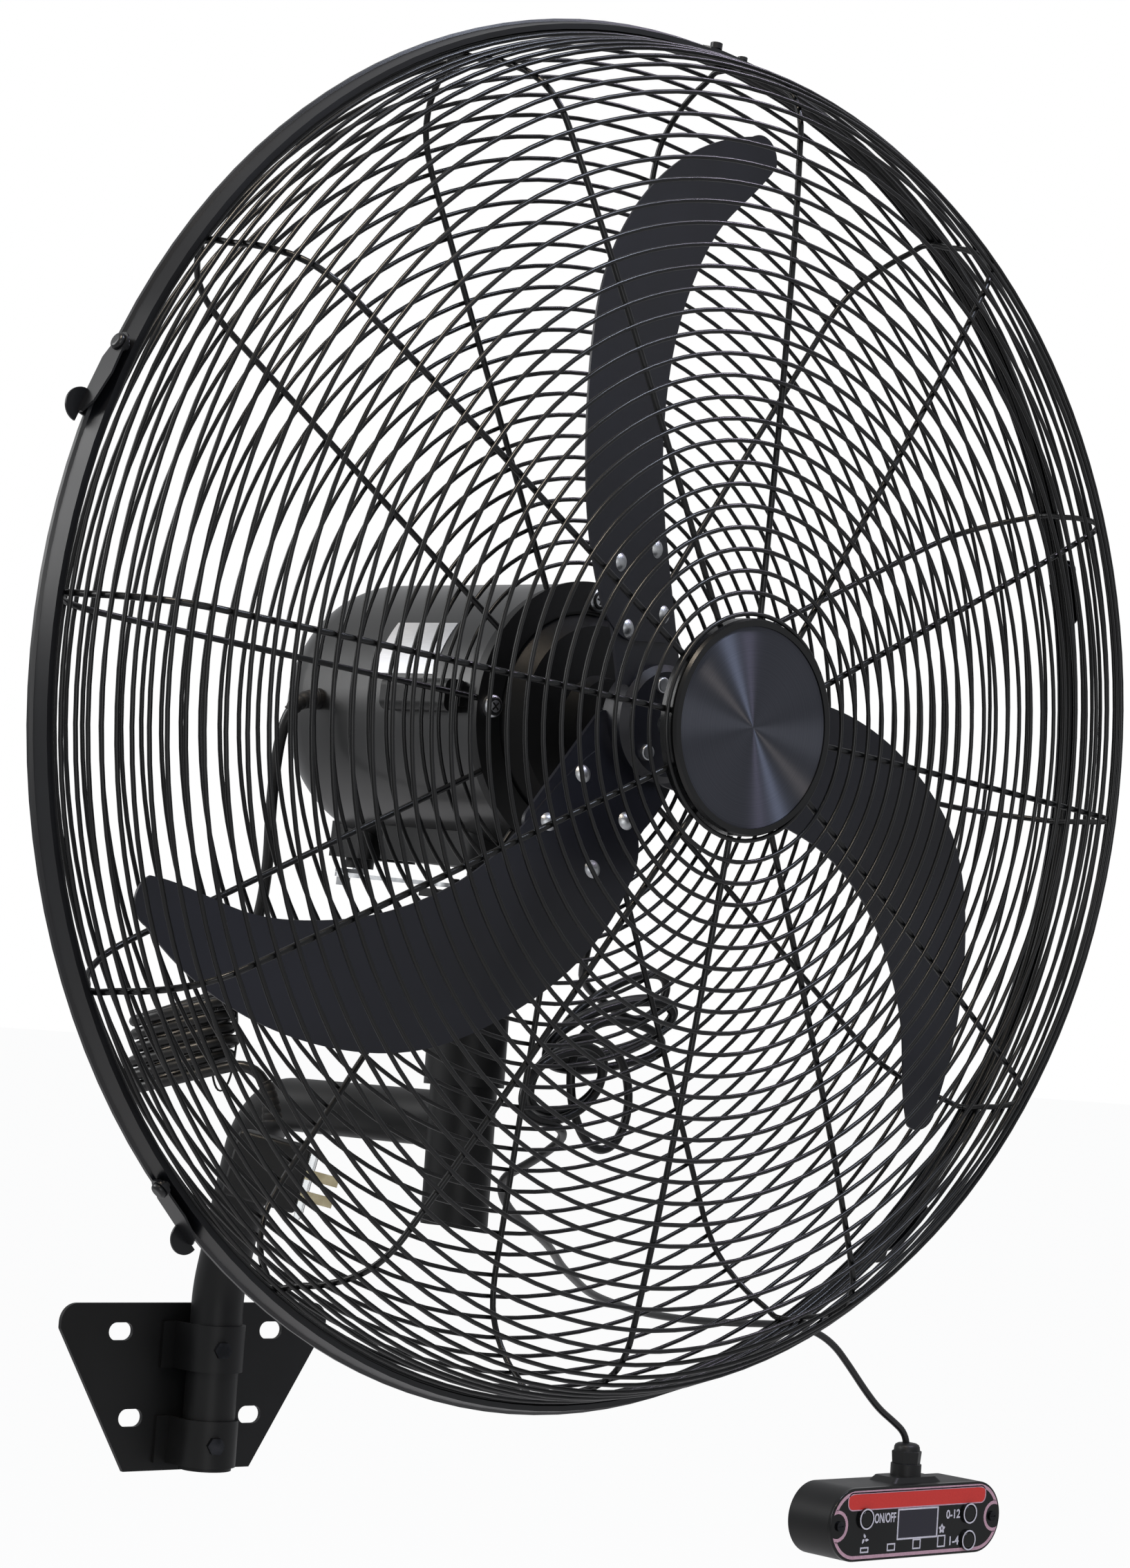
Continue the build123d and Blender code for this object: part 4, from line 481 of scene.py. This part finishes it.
LEAD_HEAD = [(.01158, -.3135, .1848), (.02442, -.31406, .18287), (.036, -.3085, .1785), (.043, -.298, .1725),
             (.045, -.285, .1663)]
LEAD_NECK = [(.045, -.285, .1663), (.047476, -.268908, .158625), (.0492, -.2515, .152)]
LEAD_ARM = [(.0492, -.2515, .152), (.050491, -.238471, .147041), (.061, -.227, .1355), (.080, -.217, .1235),
            (.104, -.207, .114), (.130, -.193, .105), (.157, -.172, .096), (.187, -.148, .0845),
            (.221, -.125, .0735), (.258, -.100, .062), (.303, -.079, .0525), (.348, -.060, .0445),
            (.388, -.047, .0395), (.427, -.040, .036), (.470, -.037, .0338), (.515, -.036, .033),
            (.550, -.0345, .029), (.578, -.0325, .0175), (.601, -.030, -.001), (.623, -.0275, -.020),
            (.643, -.025, -.035), (.662, -.0232, -.045), (.677, -.0223, -.054), (.682, -.022, -.0655),
            (.682, -.022, -.0775)]


def control_lead(number, points):
    """A stretch of the control cord, made as a mesh tube."""
    points = [Vector(p) for p in points]
    lead = give(tube(f"control_lead_{number}", points, CONTROL_RADIUS), SHEATH)
    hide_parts(f"control_cord_lead_{number}")
    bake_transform(lead)
    centre_line(points)


POWER_CORD, POWER_LINE = power_cord()
CONTROL_CORD, CONTROL_LINE = control_cord()
control_lead(1, LEAD_HEAD)
control_lead(2, LEAD_NECK)
control_lead(3, LEAD_ARM)


# ---------------------------------------------------------------- modelling helpers
def start_edit(piece):
    bpy.ops.object.select_all(action="DESELECT")
    piece.select_set(True)
    bpy.context.view_layer.objects.active = piece
    bpy.ops.object.mode_set(mode="EDIT")
    bpy.ops.mesh.select_all(action="DESELECT")


def pick(piece, test, kind="FACE"):
    """Selects the faces, edges or vertices whose middle and normal pass the test."""
    bpy.ops.mesh.select_mode(type="VERT")
    bpy.ops.mesh.select_all(action="DESELECT")
    bpy.ops.mesh.select_mode(type=kind)
    bpy.ops.object.mode_set(mode="OBJECT")
    mesh = piece.data
    if kind == "FACE":
        for face in mesh.polygons:
            face.select = test(face.center, face.normal)
    elif kind == "EDGE":
        for edge in mesh.edges:
            a, b = (mesh.vertices[i].co for i in edge.vertices)
            edge.select = test((a + b) / 2, (b - a).normalized())
    else:
        for vertex in mesh.vertices:
            vertex.select = test(vertex.co, vertex.normal)
    bpy.ops.object.mode_set(mode="EDIT")


def end_edit(piece, place=None, smooth=35.0):
    """Closes the piece with outward faces, puts it at its place and shades it."""
    bpy.ops.mesh.select_mode(type="VERT")
    bpy.ops.mesh.select_all(action="SELECT")
    bpy.ops.mesh.remove_doubles(threshold=1e-6)
    bpy.ops.mesh.normals_make_consistent(inside=False)
    bpy.ops.object.mode_set(mode="OBJECT")
    if place is not None:
        piece.data.transform(place)
    bpy.ops.object.shade_smooth_by_angle(angle=math.radians(smooth))
    return piece


def cylinder(name, radius, height, sides=32):
    """An upright cylinder standing on the XY plane, ready to be shaped."""
    bpy.ops.object.select_all(action="DESELECT")
    bpy.ops.mesh.primitive_cylinder_add(vertices=sides, radius=radius, depth=height,
                                        location=(0, 0, height / 2))
    bpy.ops.object.transform_apply(location=True, rotation=True, scale=True)
    piece = bpy.context.object
    piece.name = name
    start_edit(piece)
    return piece


HEAD = Matrix.Translation(HOOP_MIDDLE) @ Matrix.Rotation(HEAD_TILT, 4, "X")


def top(height):
    return lambda middle, normal: normal.z > 0.9 and middle.z > height - 1e-5


def stepped(name, steps, sides=32):
    """A turned piece: a cylinder whose top is inset and drawn out step by step.
    Each step is (new radius, rise)."""
    radius, rise = steps[0]
    piece = cylinder(name, radius, rise, sides)
    height = rise
    for new_radius, rise in steps[1:]:
        pick(piece, top(height))
        bpy.ops.mesh.extrude_region_move(TRANSFORM_OT_translate={"value": (0, 0, rise)})
        share = new_radius / radius
        bpy.ops.transform.resize(value=(share, share, 1))
        radius, height = new_radius, height + rise
    return piece


# ---------------------------------------------------------------- pieces on the cords
def sleeve(name, line, begin, length, wide, narrow, ribs, body):
    """A tapered ribbed strain relief that follows the cord's own line."""
    travelled, spots, last = 0.0, [], None
    for a, b in zip(line, line[1:]):
        parts = max(1, round((b - a).length / 0.0006))
        for i in range(parts):
            spot = a.lerp(b, i / parts)
            if last is not None:
                travelled += (spot - last).length
            last = spot
            if begin <= travelled <= begin + length:
                spots.append((travelled - begin, spot.copy()))
    curve = bpy.data.curves.new(name, "CURVE")
    curve.dimensions, curve.bevel_depth, curve.bevel_resolution, curve.use_fill_caps = "3D", 1.0, 6, True
    spline = curve.splines.new("POLY")
    spline.points.add(len(spots) - 1)
    for point, (along, spot) in zip(spline.points, spots):
        share = along / length
        groove = 0.5 - 0.5 * math.cos(2 * math.pi * ribs * share)
        edge = min(1.0, (length - along) / (0.06 * length) + 0.6)
        point.co = (*spot, 1.0)
        point.radius = ((wide + (narrow - wide) * share) * edge - 0.45 * MM * groove ** 4)
    holder = bpy.data.objects.new(name + "_curve", curve)
    bpy.context.scene.collection.objects.link(holder)
    mesh = bpy.data.meshes.new_from_object(holder)
    bpy.data.objects.remove(holder)
    piece = bpy.data.objects.new(name, mesh)
    bpy.context.scene.collection.objects.link(piece)
    mesh.shade_smooth()
    give(piece, RUBBER)
    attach(piece, body)
    return piece


def tie(name, middle, across, along, up, half_a, half_b, body):
    """A flat plastic strap drawn round a hank, with its buckle."""
    piece = cylinder(name, 1.0, 3.6 * MM, 40)
    pick(piece, lambda m, n: abs(n.z) > 0.9)
    bpy.ops.mesh.delete(type="ONLY_FACE")
    bpy.ops.mesh.select_mode(type="VERT")
    bpy.ops.mesh.select_all(action="SELECT")
    bpy.ops.transform.resize(value=(half_a, half_b, 1))
    bpy.ops.object.mode_set(mode="OBJECT")
    for kind, values in (("SOLIDIFY", {"thickness": 1.1 * MM, "offset": 1.0}),
                         ("BEVEL", {"width": 0.25 * MM, "segments": 2, "limit_method": "ANGLE"})):
        change = piece.modifiers.new(kind, kind)
        for key, value in values.items():
            setattr(change, key, value)
        bpy.ops.object.modifier_apply(modifier=change.name)
    bpy.ops.object.mode_set(mode="EDIT")
    bpy.ops.mesh.select_all(action="DESELECT")
    bpy.ops.mesh.primitive_cube_add(size=1.0, location=(0, half_b + 1.6 * MM, 1.8 * MM),
                                    scale=(6.4 * MM, 4.2 * MM, 6.0 * MM))
    bpy.ops.mesh.bevel(offset=0.7 * MM, segments=2)
    bpy.ops.mesh.select_all(action="DESELECT")
    turn = Matrix((Vector(across).normalized(), Vector(up).normalized(), Vector(along).normalized()))
    end_edit(piece, Matrix.Translation(Vector(middle)) @ turn.transposed().to_4x4(), 40)
    give(piece, PLASTIC)
    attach(piece, body)
    return piece


def plug():
    """The moulded plug: grip body with finger grooves, and the clear cover over its face."""
    x = Vector((.74, -.65, -.2)).normalized()
    z = Vector((.148, -.13, .97))
    z = (z - x * z.dot(x)).normalized()
    y = z.cross(x)
    place = Matrix.Translation((-.0644, -.1532, .1415)) @ Matrix((x, y, z)).transposed().to_4x4()
    bpy.ops.object.select_all(action="DESELECT")
    bpy.ops.mesh.primitive_cube_add(size=1.0, scale=(46 * MM, 25 * MM, 40 * MM))
    body = bpy.context.object
    body.name = "plug_shell"
    bpy.ops.object.transform_apply(location=True, rotation=True, scale=True)
    start_edit(body)
    pick(body, lambda m, n: abs(n.y) > 0.9)
    bpy.ops.mesh.inset(thickness=6 * MM, depth=-1.2 * MM)
    bpy.ops.mesh.inset(thickness=2.5 * MM, depth=0.9 * MM)
    pick(body, lambda m, n: n.z > 0.9)
    bpy.ops.mesh.inset(thickness=6 * MM, depth=1.5 * MM)
    bpy.ops.object.mode_set(mode="OBJECT")
    change = body.modifiers.new("round", "BEVEL")
    change.width, change.segments, change.limit_method = 2.6 * MM, 4, "ANGLE"
    bpy.ops.object.modifier_apply(modifier=change.name)
    bpy.ops.object.mode_set(mode="EDIT")
    end_edit(body, place, 40)
    give(body, PLASTIC)
    bpy.ops.object.select_all(action="DESELECT")
    bpy.ops.mesh.primitive_cube_add(size=1.0, scale=(4 * MM, 27 * MM, 42 * MM),
                                    location=(25.1 * MM, 0, -2 * MM))
    cover = bpy.context.object
    cover.name = "plug_cover"
    bpy.ops.object.transform_apply(location=True, rotation=True, scale=True)
    start_edit(cover)
    pick(cover, lambda m, n: n.x > 0.9)
    bpy.ops.mesh.inset(thickness=3 * MM, depth=-1.0 * MM)
    bpy.ops.object.mode_set(mode="OBJECT")
    change = cover.modifiers.new("round", "BEVEL")
    change.width, change.segments, change.limit_method = 0.9 * MM, 3, "ANGLE"
    bpy.ops.object.modifier_apply(modifier=change.name)
    bpy.ops.object.mode_set(mode="EDIT")
    end_edit(cover, place, 40)
    give(cover, CLEAR)
    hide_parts("plug_body")
    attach(body, "neck")
    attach(cover, "neck")
    return body, cover


sleeve("power_strain_relief", POWER_LINE, .004, .024, 6.4 * MM, 4.4 * MM, 6, "head")
PLUG_RELIEF = sleeve("plug_strain_relief", POWER_LINE[::-1], -.001, .026, 6.6 * MM, 4.5 * MM, 6, "neck")
sleeve("control_strain_relief", CONTROL_LINE, .003, .022, 5.6 * MM, 3.6 * MM, 5, "head")
PLUG_SHELL, PLUG_COVER = plug()
POWER_TIE = tie("power_hank_tie", (-.0812, -.1208, .2195), (.743, -.669, .0), (-.669, -.743, 0), (0, 0, 1),
                7 * MM, 31 * MM, "neck")


# ---------------------------------------------------------------- control box
FACE = (.673, -.04505, -.120)


def face_place(x, z, out=0.0):
    """A place on the control face, in millimetres from its middle, looking out of it."""
    return Matrix.Translation((FACE[0] + x * MM, FACE[1] - out * MM, FACE[2] + z * MM)) @ \
        Matrix.Rotation(math.radians(90), 4, "X")


def outline(name, corners, width, x, z, ink, height=0.12, lift=0.02):
    """A printed line round a closed shape on the face."""
    curve = bpy.data.curves.new(name, "CURVE")
    curve.dimensions, curve.extrude = "2D", height * MM / 2
    curve.fill_mode = "BOTH"
    outer = [Vector((a, b)) for a, b in corners]
    for grow in (0.0, -width):
        spline = curve.splines.new("POLY")
        ring = shrunk(outer, grow)
        spline.points.add(len(ring) - 1)
        for spot, point in zip(spline.points, ring):
            spot.co = (point.x * MM, point.y * MM, 0, 1)
        spline.use_cyclic_u = True
    return printed(name, curve, x, z, ink, height, lift)


def shrunk(ring, grow):
    """The ring with every side moved in square to itself."""
    moved = []
    for a, b, c in zip(ring[-1:] + ring[:-1], ring, ring[1:] + ring[:1]):
        u, v = (b - a).normalized(), (c - b).normalized()
        n, m = Vector((u.y, -u.x)), Vector((v.y, -v.x))
        bisector = (n + m) / (1 + n.dot(m))
        moved.append(b + bisector * grow)
    return moved


def printed(name, curve, x, z, ink, height=0.12, lift=0.02):
    """Turns a flat curve or text into a thin film of ink on the face."""
    holder = bpy.data.objects.new(name + "_flat", curve)
    bpy.context.scene.collection.objects.link(holder)
    mesh = bpy.data.meshes.new_from_object(holder)
    bpy.data.objects.remove(holder)
    mesh.transform(face_place(x, z, lift + height / 2))
    return inked(name, mesh, ink)


def inked(name, mesh, ink):
    """A printed piece that stays with the control box."""
    piece = bpy.data.objects.new(name, mesh)
    bpy.context.scene.collection.objects.link(piece)
    give(piece, ink)
    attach(piece, "wall_side")
    return piece


def lettering(name, words, left, right, z, height, ink):
    """Words that fill a given width and height on the face."""
    text = bpy.data.curves.new(name, "FONT")
    text.body, text.size, text.extrude, text.offset = words, 1.0, 0.0, 0.022
    holder = bpy.data.objects.new(name + "_flat", text)
    bpy.context.scene.collection.objects.link(holder)
    mesh = bpy.data.meshes.new_from_object(holder)
    bpy.data.objects.remove(holder)
    low = Vector((min(v.co.x for v in mesh.vertices), min(v.co.y for v in mesh.vertices), 0))
    high = Vector((max(v.co.x for v in mesh.vertices), max(v.co.y for v in mesh.vertices), 0))
    size = Matrix.Diagonal(((right - left) * MM / (high.x - low.x), height * MM / (high.y - low.y), 1, 1))
    mesh.transform(size @ Matrix.Translation(-low))
    mesh.transform(face_place(left, z - height / 2, 0.16))
    return inked(name, mesh, ink)


def box_points(width, height, corner=0.0, steps=6):
    """Corners of a rectangle, rounded by short steps."""
    points = []
    for k, (sx, sy) in enumerate(((1, -1), (1, 1), (-1, 1), (-1, -1))):
        cx, cy = sx * (width / 2 - corner), sy * (height / 2 - corner)
        if not corner:
            points.append((cx, cy))
            continue
        for i in range(steps + 1):
            angle = math.radians(-90 + 90 * k + 90 * i / steps)
            points.append((cx + corner * math.cos(angle), cy + corner * math.sin(angle)))
    return points


def circle_points(radius, steps=40):
    """Points round a circle."""
    return [(radius * math.cos(2 * math.pi * i / steps), radius * math.sin(2 * math.pi * i / steps))
            for i in range(steps)]


def notched_outline():
    """The pink border: a stadium with a round bite at each screw."""
    half, r, bite, inset = 97.0, 26.0, 9.5, 91.5
    points = []
    steps = 14
    meet = math.degrees(math.asin(bite * 0.9 / r))
    for side in (1, -1):
        for group, (first, last) in enumerate(((-90, -meet), (meet, 90))):
            for i in range(steps + 1):
                a = math.radians(first + (last - first) * i / steps)
                points.append((side * (half - r + r * math.cos(a)), side * r * math.sin(a)))
            if group == 0:
                for i in range(1, 14):
                    a = math.radians(-60 - 240 * i / 14)
                    points.append((side * (inset + bite * math.cos(a)), side * bite * math.sin(a)))
    return points


def filled(name, loops, x, z, ink):
    """Solid printed shapes on the face."""
    curve = bpy.data.curves.new(name, "CURVE")
    curve.dimensions, curve.extrude, curve.fill_mode = "2D", 0.06 * MM, "BOTH"
    for loop in loops:
        spline = curve.splines.new("POLY")
        spline.points.add(len(loop) - 1)
        for spot, (a, b) in zip(spline.points, loop):
            spot.co = (a * MM, b * MM, 0, 1)
        spline.use_cyclic_u = True
    return printed(name, curve, x, z, ink)


def petal(angle, reach, width, sweep):
    """One leaf of a small printed flower or fan, starting near its middle."""
    points = []
    for side, shares in ((1, range(0, 9)), (-1, range(7, 0, -1))):
        for i in shares:
            share = i / 8
            along = 0.6 + (reach - 0.6) * share
            across = side * width / 2 * math.sin(math.pi * min(1.0, share ** 0.8)) + sweep * share ** 2
            a = math.radians(angle)
            points.append((along * math.cos(a) - across * math.sin(a),
                           along * math.sin(a) + across * math.cos(a)))
    return points


def control_print():
    """Borders, button rings, plain marks and plain numbers; the strip and the window stay bare."""
    outline("face_border", notched_outline(), 2.6, 0, 0, PINK_INK)
    outline("strip_border", box_points(161.6, 14.0, 5.8), 0.9, 0, 17.8, PINK_INK)
    outline("window_border", box_points(47.4, 24.0), 1.3, 0.7, -1.6, WHITE_INK, 0.2)
    for name, x, z in BUTTON_SPOTS:
        outline("bezel_" + name, circle_points(8.1), 1.8, x, z, PLASTIC, 2.2)
        outline("ring_" + name, circle_points(8.0), 1.1, x, z, WHITE_INK, 0.12, 2.23)
    lettering("word_on_off", "ON/OFF", -49.6, -25.2, 4.2, 7.6, WHITE_INK)
    lettering("numbers_time", "0-12", 34.0, 50.5, 3.6, 7.0, WHITE_INK)
    lettering("numbers_speed", "1-4", 39.5, 50.5, -17.2, 7.0, WHITE_INK)
    for number, (x, height) in enumerate(((-59.5, 4.4), (-29.0, 5.9), (0.6, 7.9), (29.6, 9.4)), 1):
        outline(f"speed_mark_{number}", box_points(9.4, height), 1.1, x, height / 2 - 21.6, WHITE_INK)
    filled("fan_mark", [petal(90 + 120 * k, 4.4, 2.4, 1.6) for k in range(3)], -59.5, -11.0, WHITE_INK)
    filled("flower_mark", [petal(90 + 72 * k, 4.0, 2.5, 0.0) for k in range(5)], 29.6, -7.4, WHITE_INK)


control_print()


# ---------------------------------------------------------------- gland and screws
def gland():
    """The cord's compression gland: foot plate, round base, six-sided nut and domed cap."""
    level, axis = -0.0920, Vector((.682, -.022, 0))
    bpy.ops.object.select_all(action="DESELECT")
    bpy.ops.mesh.primitive_cube_add(size=1.0, location=(0, 0, 2 * MM), scale=(58 * MM, 28 * MM, 4 * MM))
    foot = bpy.context.object
    foot.name = "gland_foot"
    bpy.ops.object.transform_apply(location=True, rotation=True, scale=True)
    start_edit(foot)
    pick(foot, lambda m, n: n.z > 0.9)
    bpy.ops.transform.resize(value=(0.82, 0.88, 1))
    pick(foot, lambda m, d: abs(d.z) > 0.3, "EDGE")
    bpy.ops.mesh.bevel(offset=3 * MM, segments=4)
    end_edit(foot, smooth=30)
    base = stepped("gland_base", [(12.2 * MM, 9 * MM), (12.2 * MM, 1 * MM), (10.6 * MM, 0.8 * MM)], 40)
    end_edit(base)
    nut = stepped("gland_nut", [(11.6 * MM, 0.8 * MM), (12.4 * MM, 9 * MM), (12.4 * MM, 1 * MM),
                                (11.4 * MM, 0.6 * MM)], 6)
    end_edit(nut, smooth=20)
    dome = stepped("gland_cap", [(10.4 * MM, 3.0 * MM), (10.1 * MM, 2.4 * MM), (9.2 * MM, 1.6 * MM),
                                 (7.4 * MM, 1.0 * MM), (5.0 * MM, 0.4 * MM)], 40)
    end_edit(dome)
    for piece, height in ((foot, 0), (base, 3), (nut, 12), (dome, 21)):
        piece.data.transform(Matrix.Translation(axis + Vector((0, 0, level + height * MM))))
        give(piece, PLASTIC)
        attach(piece, "wall_side")
    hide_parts("control_cord_gland")


def cross_screw(name, place, body):
    """A pan-head screw with a cross recess."""
    piece = stepped(name, [(6.7 * MM, 1.3 * MM), (6.5 * MM, 1.0 * MM), (5.6 * MM, 1.0 * MM),
                           (3.9 * MM, 0.7 * MM), (1.6 * MM, 0.3 * MM)], 32)
    end_edit(piece)
    bpy.ops.object.select_all(action="DESELECT")
    bpy.ops.mesh.primitive_cube_add(size=1.0, location=(0, 0, 4.4 * MM), scale=(6.0 * MM, 1.2 * MM, 3.2 * MM))
    cutter = bpy.context.object
    bpy.ops.object.transform_apply(location=True, rotation=True, scale=True)
    start_edit(cutter)
    bpy.ops.mesh.primitive_cube_add(size=1.0, location=(0, 0, 4.4 * MM), scale=(1.2 * MM, 6.0 * MM, 3.2 * MM))
    bpy.ops.object.mode_set(mode="OBJECT")
    bpy.ops.object.select_all(action="DESELECT")
    bpy.context.view_layer.objects.active = piece
    piece.select_set(True)
    cut = piece.modifiers.new("recess", "BOOLEAN")
    cut.operation, cut.object, cut.use_self = "DIFFERENCE", cutter, True
    bpy.ops.object.modifier_apply(modifier=cut.name)
    bpy.data.objects.remove(cutter)
    piece.data.transform(place)
    bpy.ops.object.shade_smooth_by_angle(angle=math.radians(30))
    give(piece, ZINC)
    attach(piece, body)
    return piece


gland()
for number in range(4):
    turn = math.radians(90 * number)
    seat = Matrix.Translation((MOUNT_SCREW_CIRCLE * math.cos(turn), MOUNT_SCREW_SEAT,
                               MOUNT_SCREW_CIRCLE * math.sin(turn)))
    facing_front = Matrix.Rotation(math.radians(90), 4, "X")
    recess_turn = Matrix.Rotation(0.4 + number, 4, "Z")
    cross_screw(f"mount_screw_{number + 1}", HEAD @ seat @ facing_front @ recess_turn, "head")


# ---------------------------------------------------------------- room
# each lamp: name, place, the point it faces, size in metres, watts, colour
LAMPS = (("key", (-1.2, -.96, 2.44), (0, -.4, .4), 0.55, 40, "#ffeed8"),
         ("top", (.53, -1.63, 2.46), (0, -.4, .4), 0.5, 26, "#dfe9ff"),
         ("side", (1.28, -1.13, 2.34), (0, -.4, .4), 0.35, 14, "#eee2ff"),
         ("front", (-1.6, -3.0, .5), (0, -.4, .2), 1.6, 16, "#ffffff"),
         ("back", (-1.8, 1.0, 1.3), (0, -.2, .4), 1.2, 26, "#ffffff"))


def background_share(tree, plain):
    """How far a ray sees the white room: fully from the camera or through glass, partly when mirrored."""
    ray = add(tree, "ShaderNodeLightPath")
    mirrored = add(tree, "ShaderNodeMath", {1: 0.34}, {0: (ray, "Is Glossy Ray")}, operation="MULTIPLY")
    clear = add(tree, "ShaderNodeMath", links={0: (ray, "Is Camera Ray"), 1: (ray, "Is Transmission Ray")},
                operation="MAXIMUM")
    seen = add(tree, "ShaderNodeMath", links={0: (mirrored, 0), 1: (clear, 0)}, operation="MAXIMUM")
    return add(tree, "ShaderNodeMath", {1: plain}, {0: (seen, 0)}, operation="MULTIPLY")


def studio():
    """A pale floor far below, a white room behind, and broad soft lamps."""
    scene = bpy.context.scene
    scene.view_settings.view_transform = "Standard"
    world = bpy.data.worlds.new("room")
    scene.world = world
    world.use_nodes = True
    tree = world.node_tree
    tree.nodes.clear()
    soft = add(tree, "ShaderNodeBackground", {"Color": linear("#e6eaf2"), "Strength": 0.24})
    white = add(tree, "ShaderNodeBackground", {"Color": (1, 1, 1, 1), "Strength": 1.0})
    share = background_share(tree, 1.0)
    seen = add(tree, "ShaderNodeMixShader", links={0: (share, 0), 1: (soft, 0), 2: (white, 0)})
    add(tree, "ShaderNodeOutputWorld", links={"Surface": (seen, 0)})
    bpy.ops.object.select_all(action="DESELECT")
    bpy.ops.mesh.primitive_plane_add(size=600, location=(0, 4, -1.4))
    floor = bpy.context.object
    floor.name = "floor"
    paint = bpy.data.materials.new("pale_floor")
    paint.use_nodes = True
    tree = paint.node_tree
    tree.nodes.clear()
    matt = add(tree, "ShaderNodeBsdfDiffuse", {"Color": linear("#f2f2f2")})
    glow = add(tree, "ShaderNodeEmission", {"Color": (1, 1, 1, 1), "Strength": 1.17})
    share = background_share(tree, 0.8)
    both = add(tree, "ShaderNodeMixShader", links={0: (share, 0), 1: (matt, 0), 2: (glow, 0)})
    add(tree, "ShaderNodeOutputMaterial", links={"Surface": (both, 0)})
    give(floor, paint)
    for name, place, aim, size, power, colour in LAMPS:
        light = bpy.data.lights.new(name, "AREA")
        light.shape, light.size, light.energy, light.color = "SQUARE", size, power, linear(colour)[:3]
        lamp = bpy.data.objects.new(name, light)
        scene.collection.objects.link(lamp)
        lamp.location = place
        lamp.rotation_euler = (Vector(aim) - Vector(place)).to_track_quat("-Z", "Y").to_euler()


studio()
